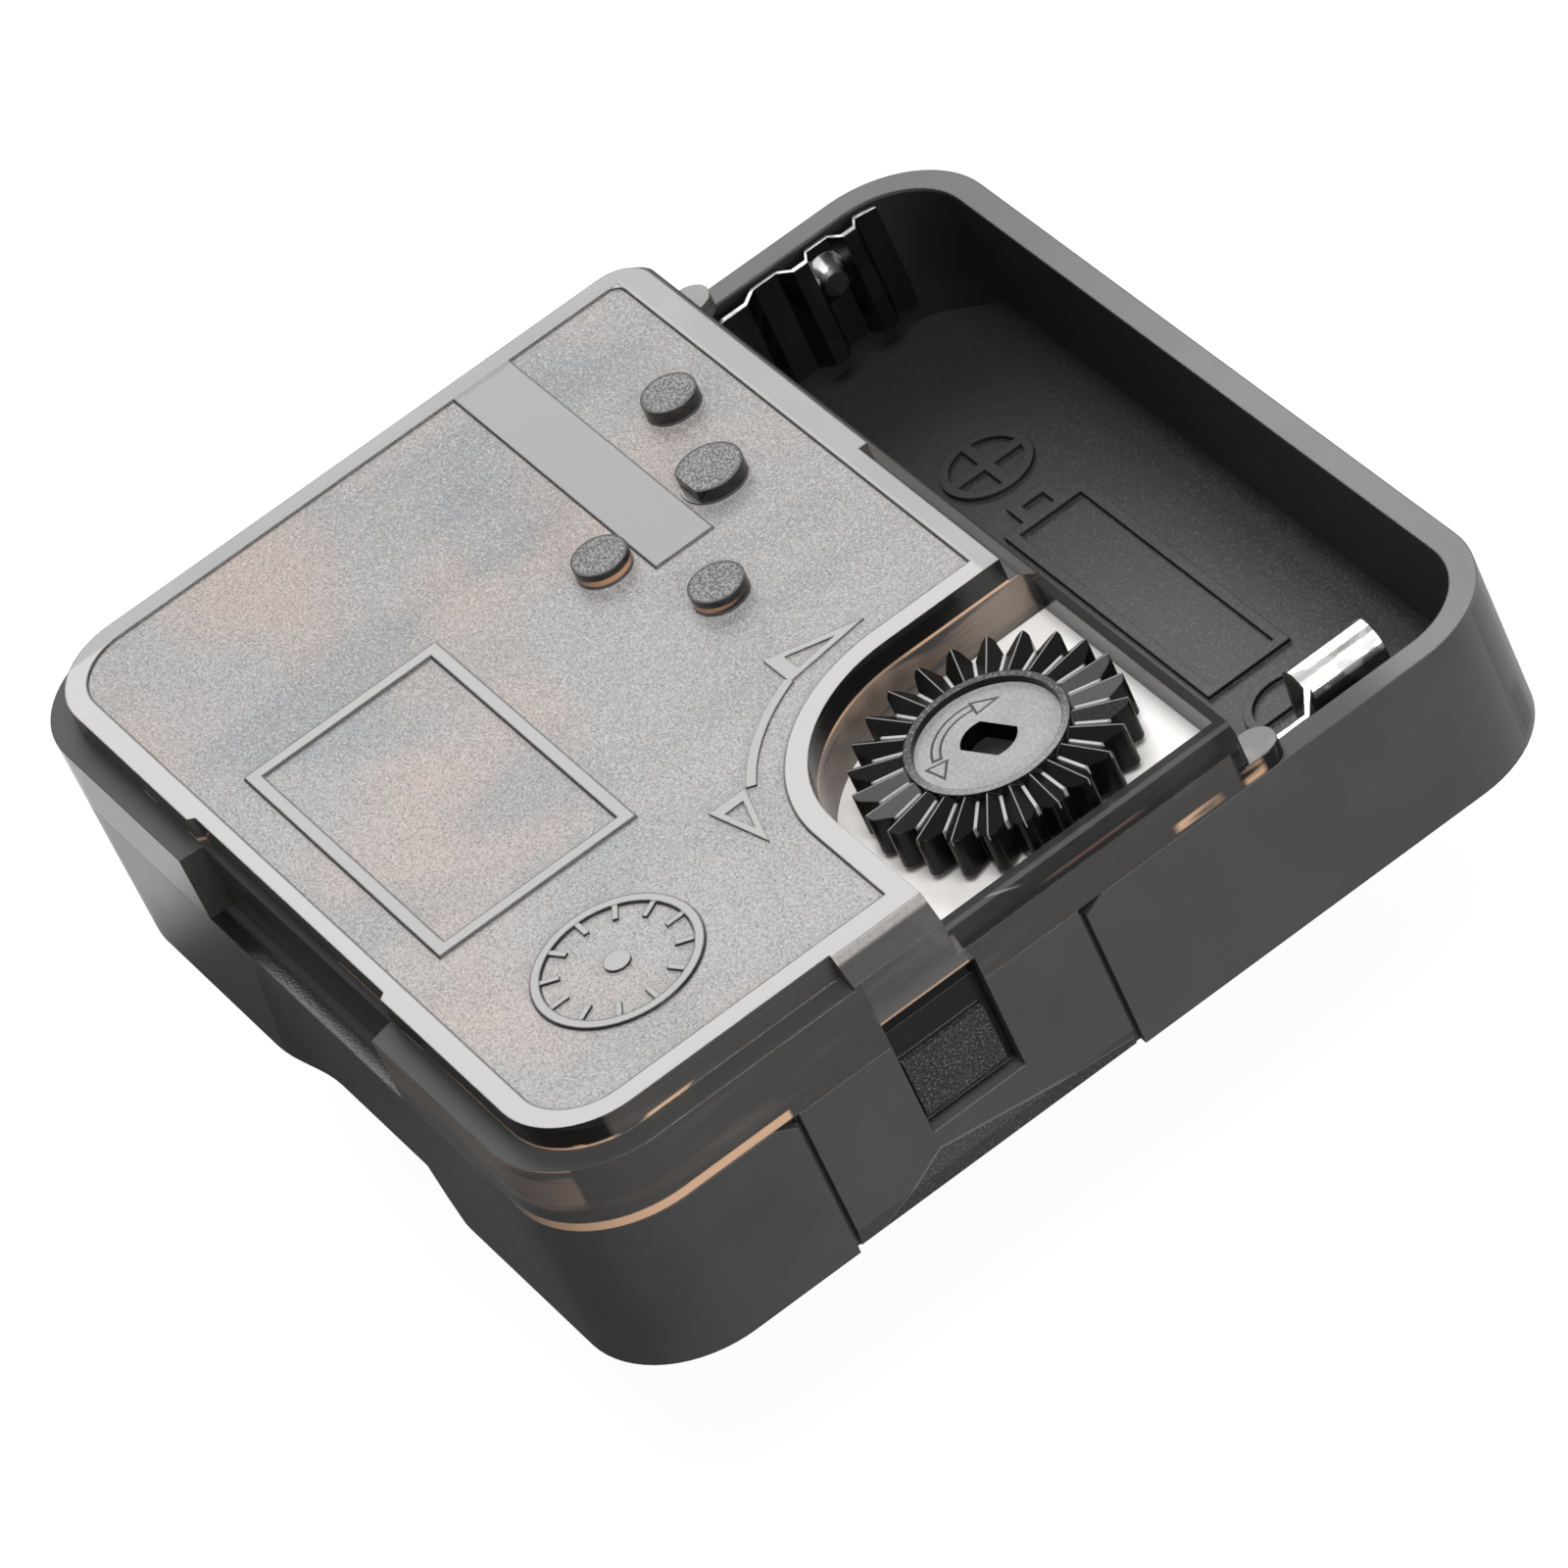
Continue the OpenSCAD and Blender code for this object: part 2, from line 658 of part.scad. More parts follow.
// Outline of one arrow head, from its three corners
module arrow_head(p, line) {
  c = (p[0] + p[1] + p[2]) / 3;
  difference() {
    polygon(p);
    polygon([for (q = p) c + (q - c) * line]);
  }
}

// The double arrow round the tray shows that the knob turns both ways
module cover_arrow() {
  arc_line(arrow_r, arrow_line, 204, 240.5);
  arrow_head([[-11, 0.2], [-12.85, -4.75], [-10.3, -4.7]], 0.5);
  arrow_head([[-5.81, -10.26], [-5.82, -12.42], [-1.56, -11.48]], 0.5);
}

module cover_marks() {
  low = panel_z - e;
  translate([knob_x, knob_y, 0]) layer(low, cover_top_z) cover_arrow();
  translate([0, frame_y, 0]) layer(low, cover_top_z + line_h) frame_mark();
  translate([ring_x, ring_y, 0]) layer(low, cover_top_z + line_h) difference() {
    circle(ring_r);
    circle(ring_r - 0.5);
  }
  // Plain rays fill the ring, as on a moulder's date mark
  translate([ring_x, ring_y, 0]) for (a = [0:30:330]) rotate([0, 0, a])
    block([ring_r - 1.5, -0.15, low], [ring_r - 0.4, 0.15, cover_top_z + line_h]);
  pin(ring_x, ring_y, low, cover_top_z + line_h, 0.7);
  block([-step_x + band_w, strip_y - strip_d / 2, low],
    [-step_x + band_w + strip_l, strip_y + strip_d / 2, cover_top_z]);
  for (p = [[0, 0], [rotor_x, rotor_y], [third_x, third_y]])
    pin(p[0], p[1], low, cover_top_z + boss_h, boss_r);
  difference() {
    pin(inter_x, inter_y, low, cover_top_z + boss_h, big_boss_r);
    block([inter_x - 3, inter_y - big_boss_r - 1, cover_top_z], [inter_x + 3, inter_y - big_boss_r + 0.35, cover_top_z + 2]);
  }
}

module rear_cover() color("#8d8984") {
  difference() {
    union() {
      difference() {
        cover_body();
        cover_space();
      }
      // Tray walls and floor
      intersection() {
        cover_body();
        layer(tray_z - tray_floor_t, cover_top_z) tray_outline(tray_wall);
      }
      // Backing of the latch window
      block([inner - latch_depth, latch_y0 - 1.5, case_h],
        [inner + 0.6, latch_y1 + 1.5, ledge_z - cover_top_t + e]);
      // Backing of the grip
      block([-grip_w / 2 - 1.5, -inner - e, case_h], [grip_w / 2 + 1.2, -inner + grip_depth, ledge_z]);
      // Slanted tongue over the latch
      along_y(latch_y0, latch_y1)
        polygon([[step_x - 1, cover_top_z], [step_x + 0.2, cover_top_z], [half, cover_top_z - 1.3],
          [half, tongue_z], [latch_x, tongue_z], [latch_x, ledge_z - 2]]);
      for (p = [[0, 0], [rotor_x, rotor_y], [third_x, third_y], [inter_x, inter_y]])
        pin(p[0], p[1], socket_z, top_under_z + e, socket_r);
      // Lugs that sit on the case rim at both ends of the bay wall
      for (s = [-1, 1]) {
        pin(s * (half - lug_r), bay_y0 + 0.9, case_h, case_h + lug_h, lug_r);
        block([s > 0 ? half - 2 * lug_r : -half, bay_y0 - 1, case_h],
          [s > 0 ? half : -half + 2 * lug_r, bay_y0 + 0.9, case_h + lug_h]);
      }
    }
    // The ledge along the bay falls towards it
    translate([-half - 1, bay_y0, ledge_z]) rotate([90, 0, 90]) linear_extrude(case_w + 2)
      polygon([[e, 0.5], [e, -bay_ledge_fall], [-bay_ledge_w, 0], [-bay_ledge_w, e], [-0.5, 0.5]]);
    // The open tray
    layer(tray_z, cover_top_z + 1) intersection() {
      tray_outline(0);
      translate([0, -half]) square([tray_x1, half + tray_y1]);
    }
    // Its two low outer walls
    layer(tray_rim_z, cover_top_z + 1) difference() {
      translate([tray_x0, tray_y0]) square([half, half]);
      translate([tray_x0 - 1, tray_y0 - 1]) square([tray_r + 1, tray_r + 1]);
    }
    along_y(tray_y0, bay_y0 + e)
      polygon([[step_x + 0.5, tray_rim_z + e], [half + e, tray_rim_z + e], [half + e, tray_rim_z - tray_rim_drop]]);
    pin(knob_x, knob_y, tray_z - 2, tray_z + e, arbor_r + run_gap);
    // Grained panel, set down a little inside the smooth band
    layer(panel_z, cover_top_z + e) difference() {
      cover_outline(step_x - band_w, -step_x + band_w, step_y1 - 1.55, case_corner - ledge_w - band_w, 0.8);
      tray_outline(band_w);
    }
    // Notches of the gate and of the grip
    block([-gate_half, step_y1 - gate_depth, ledge_z], [tray_x0 + 0.5, step_y1 + 1, cover_top_z + e]);
    layer(case_h - e, ledge_z + e) polygon([[-grip_w / 2 + 0.4, -half - e], [-grip_w / 2 + 0.5, -step_x - 0.05],
      [grip_w / 2 - 0.1, -step_x - 0.05], [grip_w / 2 + 0.3, -half - e]]);
    layer(ledge_z - e, cover_top_z + e) polygon([[-grip_w / 2, -step_x - e], [-grip_w / 2 + 0.3, -step_x + 0.35],
      [grip_w / 2 - 0.3, -step_x + 0.35], [grip_w / 2, -step_x - e]]);
    // Latch window under the tongue
    block([latch_x, pocket_y0, case_h - e], [half + e, pocket_y1, tongue_z]);
    for (p = [[0, 0], [rotor_x, rotor_y], [third_x, third_y], [inter_x, inter_y]])
      pin(p[0], p[1], socket_z - e, pivot_top_z + 0.1, pivot_hole_r);
  }
  cover_marks();
}

module threaded_bush() color("#c9a24a") {
  turns = floor((bush_l - collar_l) / thread_pitch);
  bore_r = hour_hidden_r + run_gap;
  rotate_extrude() polygon(concat(
    [[bore_r, -bush_l], [bush_r - thread_depth, -bush_l]],
    [for (i = [0:turns - 1], k = [0:1]) [k ? bush_r : bush_r - thread_depth,
      -bush_l + (i + 0.3 + k / 2) * thread_pitch]],
    [[bush_r - thread_depth, -collar_l - 0.1], [bush_r, -collar_l], [bush_r, 0], [bush_seat_r, 0],
      [bush_seat_r, floor_t], [flange_r, floor_t], [flange_r, flange_z], [bore_r, flange_z]]));
}

module middle_plate() color("#e8e6df") {
  difference() {
    layer(plate_z, plate_z + plate_t) rounded(plate_x0, plate_y0, plate_x1, plate_y1, 1.5);
    pin(0, 0, plate_z - e, plate_z + 1, seconds_hidden_r + run_gap);
    pin(third_x, third_y, plate_z - e, plate_z + 1, 1.1);
    pin(inter_x, inter_y, plate_z - e, plate_z + 1, pivot_hole_r);
  }
}

// Outline of the knob: a sharp gap and a round tip for each tooth
function knob_points() = [for (i = [0:knob_teeth - 1], k = [0:9])
  let (
    a = i * 360 / knob_teeth,
    gap = (k == 9),
    b = -76 + 19 * k,
    x = gap ? knob_root_r * cos(180 / knob_teeth) : knob_r - tip_r + tip_r * cos(b),
    y = gap ? knob_root_r * sin(180 / knob_teeth) : tip_r * sin(b)
  ) [x * cos(a) - y * sin(a), x * sin(a) + y * cos(a)]];

module setting_knob() color("#202022") {
  translate([knob_x, knob_y, 0]) difference() {
    union() {
      difference() {
        layer(knob_z0, knob_z1) rotate([0, 0, knob_phase]) polygon(knob_points());
        // Each cut takes one valley and the sloping halves of the two teeth beside it
        for (i = [0:knob_teeth - 1]) rotate([0, 0, knob_phase + (i + 0.5) * 360 / knob_teeth])
          translate([0, 0, valley_z]) rotate([0, valley_lean, 0]) rotate([90, 0, 90])
            translate([0, 0, knob_ring_r - 0.6]) linear_extrude(knob_r)
              polygon([[-valley_w, 0], [valley_w, 0], [valley_w + 2 / valley_slope, 2],
                [-valley_w - 2 / valley_slope, 2]]);
      }
      pin(0, 0, knob_z0, knob_z1, knob_ring_r);
    }
    pin(0, 0, knob_face_z, knob_z1 + e, knob_ring_r - knob_ring_w);
    layer(knob_z0 - e, knob_z1) intersection() {
      circle(key_r);
      rotate([0, 0, key_turn]) square([2 * key_r + 1, key_flat], center = true);
    }
  }
}

module setting_arbor() color("#d9d7d0") {
  translate([knob_x, knob_y, 0]) {
    pin(0, 0, floor_t + 0.4, arbor_low_z + e, arbor_low_r);
    pin(0, 0, arbor_low_z, knob_z0, arbor_r);
    gear(setting_t, m_cm, motion_z0, motion_z0 + motion_t, phase_setting);
    layer(knob_z0 - e, knob_z0 + 1.2) intersection() {
      circle(key_r - fit);
      rotate([0, 0, key_turn]) square([2 * key_r + 1, key_flat - 2 * fit], center = true);
    }
  }
}

module motion_wheel() color("#e8e6df") {
  translate([motion_x, motion_y, 0]) difference() {
    union() {
      gear(motion_t2, m_mh, hour_z - 0.1, motion_z0 + e, dir_mh);
      gear(motion_t1, m_cm, motion_z0, motion_z0 + motion_t, phase_motion);
    }
    pin(0, 0, 0, case_h, stud_r + run_gap);
  }
}

module hour_wheel() color("#f0eee6") {
  difference() {
    union() {
      gear(hour_t, m_mh, hour_z, hour_z + hour_wheel_t, mate(dir_mh, dir_mh, motion_t2, hour_t));
      pin(0, 0, hour_tube_z, -bush_l + e, hour_tube_r);
      pin(0, 0, -bush_l, hour_z + e, hour_hidden_r);
    }
    pin(0, 0, hour_tube_z - e, case_h, minute_hidden_r + run_gap);
  }
}

module minute_shaft() color("#d8b25a") {
  difference() {
    union() {
      pin(0, 0, minute_z, hour_tube_z + e, minute_r);
      pin(0, 0, hour_tube_z, cannon_z0 + e, minute_hidden_r);
      gear(cannon_t, m_cm, cannon_z0, cannon_z1, dir_cm);
      pin(0, 0, cannon_z1 - e, neck_z, neck_r);
    }
    pin(0, 0, minute_z - e, case_h, seconds_hidden_r + run_gap);
  }
}

module clutch_spring() color("#b9bcc0") {
  difference() {
    rotate_extrude() polygon([[neck_r, spring_z], [spring_r, spring_z + 0.2], [spring_r, spring_z + spring_t],
      [neck_r, spring_z + 0.2]]);
    for (a = [0:120:240]) rotate([0, 0, a]) pin(spring_r, 0, spring_z - e, centre_z, 0.5);
  }
}

module centre_wheel() color("#e8e6df") {
  difference() {
    gear(centre_t1, m_tc, centre_z, centre_z + wheel_t, mate(dir_tc, dir_tc, third_t2, centre_t1));
    pin(0, 0, centre_z - e, centre_z + 1, neck_r + run_gap);
    for (a = [0:90:270]) rotate([0, 0, a]) pin(4.2, 0, centre_z - e, centre_z + 1, 1.3);
  }
}

module third_wheel() color("#e8e6df") {
  translate([third_x, third_y, 0]) {
    pin(0, 0, floor_t + 0.8, pivot_top_z, pivot_r);
    gear(third_t2, m_tc, centre_z - pinion_over, centre_z + wheel_t + pinion_over, dir_tc);
    pin(0, 0, centre_z + wheel_t, third_z + wheel_t + 0.3, 0.7);
    difference() {
      gear(third_t1, m_st, third_z, third_z + wheel_t, mate(dir_st, dir_st, second_t2, third_t1));
      for (a = [0:90:270]) rotate([0, 0, a]) pin(3.8, 0, third_z - e, third_z + 1, 1.2);
    }
    pin(0, 0, shoulder_z - 1, shoulder_z, 0.5);
  }
}

module second_wheel() color("#e8e6df") {
  difference() {
    union() {
      gear(second_t2, m_st, third_z - 0.1, third_z + wheel_t + pinion_over, dir_st);
      pin(0, 0, third_z + wheel_t, second_z + wheel_t + 0.6, 1);
      difference() {
        gear(second_t1, m_is, second_z, second_z + wheel_t, mate(dir_is, dir_is, inter_t2, second_t1));
        for (a = [45:90:315]) rotate([0, 0, a]) pin(4, 0, second_z - e, second_z + 1, 1.4);
      }
    }
    pin(0, 0, plate_z, cover_top_z, seconds_hidden_r);
  }
}

module second_arbor() color("#c4c8cc") {
  pin(0, 0, seconds_z, minute_z + e, seconds_r);
  pin(0, 0, minute_z, shoulder_z, seconds_hidden_r);
  pin(0, 0, shoulder_z - e, pivot_top_z, pivot_r);
}

module intermediate_wheel() color("#e8e6df") {
  translate([inter_x, inter_y, 0]) {
    pin(0, 0, plate_z, pivot_top_z, pivot_r);
    gear(inter_t2, m_is, second_z - pinion_over, second_z + wheel_t + pinion_over, dir_is);
    pin(0, 0, second_z + wheel_t, shoulder_z, 0.7);
    difference() {
      gear(inter_t1, m_ri, inter_z, inter_z + wheel_t, mate(dir_ri, dir_ri, rotor_t1, inter_t1));
      for (a = [0:90:270]) rotate([0, 0, a]) pin(3.7, 0, inter_z - e, inter_z + 1, 1.2);
    }
  }
}

module rotor_pinion() color("#f2f0ea") {
  translate([rotor_x, rotor_y, 0]) {
    pin(0, 0, floor_t + 0.8, magnet_z0, pivot_r);
    difference() {
      pin(0, 0, magnet_z0 - 0.2, magnet_z1 + 0.3, magnet_r * 0.5 + 0.4);
      difference() {
        pin(0, 0, magnet_z0, magnet_z1, magnet_r);
        pin(0, 0, magnet_z0 - e, magnet_z1 + e, magnet_r * 0.5);
      }
    }
    pin(0, 0, magnet_z1, shoulder_z, 0.4);
    gear(rotor_t1, m_ri, inter_z - pinion_over, inter_z + wheel_t + pinion_over, dir_ri);
    pin(0, 0, shoulder_z - e, pivot_top_z, pivot_r);
  }
}

module rotor_magnet() color("#55585c") {
  translate([rotor_x, rotor_y, 0]) difference() {
    pin(0, 0, magnet_z0, magnet_z1, magnet_r);
    pin(0, 0, magnet_z0 - e, magnet_z1 + e, magnet_r * 0.5);
  }
}

// One half of the stator's ring, on the side given by s
module stator_ring(s) {
  intersection() {
    translate([rotor_x, rotor_y]) circle(stator_r);
    translate([rotor_x + (s > 0 ? 0.2 : -stator_r - 0.2), rotor_y - stator_r])
      square([stator_r, 2 * stator_r]);
  }
}

module stator_left() color("#a7aaad") {
  difference() {
    layer(stator_z, stator_z + stator_t) {
      stator_ring(-1);
      translate([left_leg_x0, coil_y - 2]) square([4, rotor_y + 2 - coil_y]);
    }
    pin(rotor_x, rotor_y, stator_z - e, stator_z + 2, magnet_r + air_gap);
    pin(screw_l_x, coil_y, stator_z - e, stator_z + 2, screw_r);
  }
}

module stator_right() color("#a7aaad") {
  difference() {
    layer(stator_z, stator_z + stator_t) {
      stator_ring(1);
      translate([rotor_x + 1.2, bridge_y]) square([2.8, rotor_y - bridge_y]);
      translate([rotor_x + 1.2, bridge_y]) square([right_leg_x1 - rotor_x - 1.2, bridge_w]);
      translate([right_leg_x1 - 3.6, coil_y - 2]) square([3.6, bridge_y + bridge_w - coil_y + 2]);
    }
    pin(rotor_x, rotor_y, stator_z - e, stator_z + 2, magnet_r + air_gap);
    pin(screw_r_x, coil_y, stator_z - e, stator_z + 2, screw_r);
  }
}

module coil_core() color("#9a9da0") {
  difference() {
    block([left_leg_x0, coil_y - core_w / 2, core_z], [right_leg_x1, coil_y + core_w / 2, core_z + core_t]);
    for (x = [screw_l_x, screw_r_x]) pin(x, coil_y, core_z - e, core_z + 2, screw_r);
  }
}

// A round bar along X at the height of the coil
module coil_bar(x0, x1, r) {
  translate([x0, coil_y, coil_z]) rotate([0, 90, 0]) cylinder(h = x1 - x0, r = r);
}

module coil_bobbin() color("#2b2d33") {
  difference() {
    union() {
      coil_bar(bobbin_x0, bobbin_x0 + flange_w, bobbin_r);
      coil_bar(bobbin_x0, bobbin_x1, bobbin_tube_r);
      coil_bar(bobbin_x1 - flange_w, bobbin_x1, bobbin_r);
    }
    block([bobbin_x0 - 1, coil_y - core_w / 2 - fit, core_z - fit],
      [bobbin_x1 + 1, coil_y + core_w / 2 + fit, core_z + core_t + fit]);
    for (s = [-1, 1]) block([bobbin_x1 - flange_w / 2, coil_y + s * terminal_y - terminal_w / 2, board_top],
      [bobbin_x1 + e, coil_y + s * terminal_y + terminal_w / 2, board_top + contact_t]);
  }
}

module coil_winding() color("#b4673a") {
  difference() {
    coil_bar(bobbin_x0 + flange_w, bobbin_x1 - flange_w, winding_r);
    coil_bar(bobbin_x0, bobbin_x1, bobbin_tube_r);
  }
}

module coil_terminals() color("#d2b36a") {
  for (s = [-1, 1]) block([bobbin_x1 - flange_w / 2, coil_y + s * terminal_y - terminal_w / 2, board_top],
    [board_x0 + 1.6, coil_y + s * terminal_y + terminal_w / 2, board_top + contact_t]);
}

module core_screws() color("#c4c8cc") {
  for (x = [screw_l_x, screw_r_x]) difference() {
    union() {
      pin(x, coil_y, stator_z - screw_l + 0.2, core_z + core_t + e, screw_r);
      pin(x, coil_y, core_z + core_t, core_z + core_t + screw_head_t, screw_head_r);
    }
    block([x - 2, coil_y - 0.15, core_z + core_t + 0.4], [x + 2, coil_y + 0.15, core_z + core_t + 1]);
  }
}

module circuit_board() color("#2f6b3c") {
  difference() {
    layer(board_z, board_top) rounded(board_x0, board_y0, board_x1, board_y1, 1);
    pin(knob_x, knob_y, board_z - e, board_top + e, board_hole_r);
  }
}

module chip_resin() color("#17171a") {
  translate([chip_x, chip_y, board_top]) rotate_extrude()
    polygon(concat([[0, 0]], [for (a = [0:15:90]) [chip_r * cos(a), 0.9 * sin(a)]]));
}

module quartz_crystal() color("#d5d8da") {
  translate([crystal_x, crystal_y, board_top + crystal_r]) {
    rotate([0, 90, 0]) cylinder(h = crystal_l, r = crystal_r);
    for (s = [-1, 1]) translate([crystal_l - e, s * 0.4, 0]) rotate([0, 90, 0]) cylinder(h = 1.5, r = lead_r);
  }
}

module solder_dome(x, y, z) {
  translate([x, y, z]) rotate_extrude()
    polygon(concat([[0, 0]], [for (a = [0:30:90]) [solder_r * cos(a), 0.4 * sin(a)]]));
}

module solder_joints() color("#c9ccce") {
  for (s = [-1, 1]) solder_dome(board_x0 + 1, coil_y + s * terminal_y, board_top + contact_t);
  solder_dome(board_x0 + 1, strap_y - 1.6, board_top + contact_t);
  solder_dome(board_x1 - 1, strap_y - 1.6, board_top + contact_t);
}

module positive_contact() color("#cdd0d2") {
  x = -inner + 0.15;
  rib = 0.75;
  t = contact_t;
  line = [for (p = [[rib, 0], [rib, 1.4], [0, 2.3], [0, 3.7], [rib, 4.4], [rib, 5.3], [0, 5.7], [0, 7],
    [rib, 7.6], [rib, 8.4], [0.05, 8.8], [0.3, 10]]) [x + p[0], pos_y0 + p[1] * pos_k]];
  n = len(line) - 1;
  layer(contact_low_z, contact_z)
    polygon(concat(line, [for (i = [n:-1:0]) line[i] + [t, 0]]));
  // Round nub that meets the cell
  translate([x + t - e, (pos_y0 + pos_y1) / 2 + 1.2, bay_floor_t + cell_d / 2 - 1.3]) rotate([0, 90, 0])
    cylinder(h = 0.9, r1 = 1.5, r2 = 0.7);
  // Strap through the partition and along it to the board
  layer(strap_z, strap_z + strap_h) {
    translate([x + rib, strap_y]) square([t, pos_y0 - strap_y + e]);
    translate([x + rib, strap_y]) square([board_x0 + 0.3 - x - rib, t]);
  }
  block([board_x0 + 0.2, strap_y - 2.4, strap_z], [board_x0 + 1.8, strap_y + t, strap_z + t]);
}

// Side view of the sprung leaf, from the wall plate over the curl
function leaf_line(d) = concat(
  [[leaf_x + leaf_r + d, contact_low_z]],
  [for (a = [0:15:150]) [leaf_x + (leaf_r + d) * cos(a), leaf_z + (leaf_r + d) * sin(a)]],
  [[leaf_x - leaf_r * 1.25 - d, leaf_z - 2], [leaf_x - leaf_r * 1.25 - d, leaf_z - 3.6]]);

module negative_contact() color("#cdd0d2") {
  t = contact_t;
  x = inner - 0.15 - t;
  outer_line = leaf_line(0);
  inner_line = leaf_line(-t);
  n = len(inner_line) - 1;
  layer(contact_low_z, contact_z + 0.2)
    polygon([[x, neg_y0], [x + t, neg_y0], [x + t, leaf_y0 - 1], [leaf_x + leaf_r, leaf_y0 + 0.2],
      [leaf_x + leaf_r - t, leaf_y0 + 0.2], [leaf_x + leaf_r - t, leaf_y0], [x, leaf_y0 - 1.1]]);
  along_y(leaf_y0, leaf_y1)
    polygon(concat(outer_line, [for (i = [n:-1:0]) inner_line[i]]));
  layer(strap_z, strap_z + strap_h) translate([x, strap_y - 2.4]) square([t, neg_y0 - strap_y + 2.4 + e]);
  block([board_x1 - 1.8, strap_y - 2.4, strap_z], [x + t, strap_y - 0.8, strap_z + t]);
}

front_case();
rear_cover();
threaded_bush();
middle_plate();
setting_knob();
setting_arbor();
motion_wheel();
hour_wheel();
minute_shaft();
clutch_spring();
centre_wheel();
third_wheel();
second_wheel();
second_arbor();
intermediate_wheel();
rotor_pinion();
rotor_magnet();
stator_left();
stator_right();
coil_core();
coil_bobbin();
coil_winding();
coil_terminals();
core_screws();
circuit_board();
chip_resin();
quartz_crystal();
solder_joints();
positive_contact();
negative_contact();
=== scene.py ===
# %% [markdown]
# This script dresses a quartz clock movement. The solids come ready made, in their real places, so the
# work here is the looks: the camera, the light, and one finish for each kind of part. The frame is loaded
# first, and its box is kept, because the floor goes just below it.

# %% Load the movement
import math
import bpy
from mathutils import Matrix, Vector


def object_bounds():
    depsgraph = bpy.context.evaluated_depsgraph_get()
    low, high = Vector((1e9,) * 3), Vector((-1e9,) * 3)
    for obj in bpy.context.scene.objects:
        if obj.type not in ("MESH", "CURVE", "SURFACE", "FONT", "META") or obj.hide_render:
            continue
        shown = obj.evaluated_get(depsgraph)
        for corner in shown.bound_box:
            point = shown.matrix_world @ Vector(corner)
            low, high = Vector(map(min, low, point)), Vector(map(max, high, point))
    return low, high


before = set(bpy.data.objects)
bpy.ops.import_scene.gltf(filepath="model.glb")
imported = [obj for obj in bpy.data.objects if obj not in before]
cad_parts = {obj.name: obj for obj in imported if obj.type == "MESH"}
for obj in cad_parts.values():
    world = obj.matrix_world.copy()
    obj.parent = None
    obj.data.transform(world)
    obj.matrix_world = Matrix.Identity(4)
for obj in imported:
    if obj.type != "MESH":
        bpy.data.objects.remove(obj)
movement_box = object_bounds()

# %% [markdown]
# The camera stands where the photographer stood: far off with a long lens, so that parallel edges stay
# nearly parallel. It could be placed with angles, but the picture is also turned about the line of sight.
# So it is set from its place and its three directions, which is exact and easy to check.

# %% Camera
camera_data = bpy.data.cameras.new("camera")
camera = bpy.data.objects.new("camera", camera_data)
bpy.context.collection.objects.link(camera)
camera_data.lens = 238.56
camera_data.sensor_width = 36
camera_data.clip_start = 0.01
camera_data.clip_end = 20
to_right = Vector((0.50272658, 0.79316001, -0.34374872))
to_top = Vector((-0.42389538, 0.57275181, 0.70161819))
line_of_sight = Vector((-0.75337819, 0.20700861, -0.62415442))
stand = Matrix((to_right, to_top, -line_of_sight)).transposed().to_4x4()
stand.translation = Vector((0.386057, -0.107469, 0.322672))
camera.matrix_world = stand
bpy.context.scene.camera = camera
print("camera distance:", round(stand.translation.length, 3), "m")

# %% [markdown]
# A shader is easier to read as sums than as a net of boxes. The small class below wraps one output of a
# node. Plus, minus and times on it add Math nodes, and its one method adds a node of any other kind: its
# settings are set first, and then the values or links of its sockets.

# %% Shader sums
class Wire:
    def __init__(self, tree, socket=None):
        self.tree = tree
        self.socket = socket

    def node(self, kind, settings=None, inputs=None, output=0):
        made = self.tree.nodes.new(kind)
        for name, value in (settings or {}).items():
            setattr(made, name, value)
        for name, value in (inputs or {}).items():
            if isinstance(value, Wire):
                self.tree.links.new(value.socket, made.inputs[name])
            else:
                made.inputs[name].default_value = value
        return Wire(self.tree, made.outputs[output])

    def maths(self, operation, *values):
        return self.node("ShaderNodeMath", {"operation": operation}, dict(enumerate(values)))

    def __add__(self, other):
        return self.maths("ADD", self, other)

    def __sub__(self, other):
        return self.maths("SUBTRACT", self, other)

    def __rsub__(self, other):
        return self.maths("SUBTRACT", other, self)

    def __mul__(self, other):
        return self.maths("MULTIPLY", self, other)

    def __truediv__(self, other):
        return self.maths("DIVIDE", self, other)

    def __pow__(self, other):
        return self.maths("POWER", self, other)

    def __abs__(self):
        return self.maths("ABSOLUTE", self)

    __radd__ = __add__
    __rmul__ = __mul__


print("sums ready")

# %% [markdown]
# Every pattern is placed in millimetres on the part itself. Object coordinates do this: they turn with a
# wheel, so its marks turn too. Coordinates unwrapped from the mesh would do as well, but they would have to
# be made for each part. The helpers give the place, how far a face looks up, soft steps between two
# heights, grain of a stated size, and dents of a stated depth.

# %% Places and steps
mm_per_metre = 1000.0


def place(wire):
    spot = wire.node("ShaderNodeTexCoord", output="Object")
    axes = [wire.node("ShaderNodeSeparateXYZ", inputs={0: spot}, output=i) for i in range(3)]
    return [axis * mm_per_metre for axis in axes]


# 1 on a face that looks straight up, 0 on an upright one
def facing_up(wire):
    normal = wire.node("ShaderNodeTexCoord", output="Normal")
    return wire.node("ShaderNodeSeparateXYZ", inputs={0: normal}, output=2)


# A soft step from 0 to 1 between two values
def rise(value, start, end):
    return value.node("ShaderNodeMapRange", {"interpolation_type": "SMOOTHSTEP"},
                      {"Value": value, "From Min": start, "From Max": end})


# 1 within reach of the centre and 0 beyond it, with a soft border
def near(value, centre, reach, soft=0.05):
    return 1.0 - rise(abs(value - centre), reach - soft, reach + soft)


def highest(first, second):
    return first.maths("MAXIMUM", first, second)


def lowest(first, second):
    return first.maths("MINIMUM", first, second)


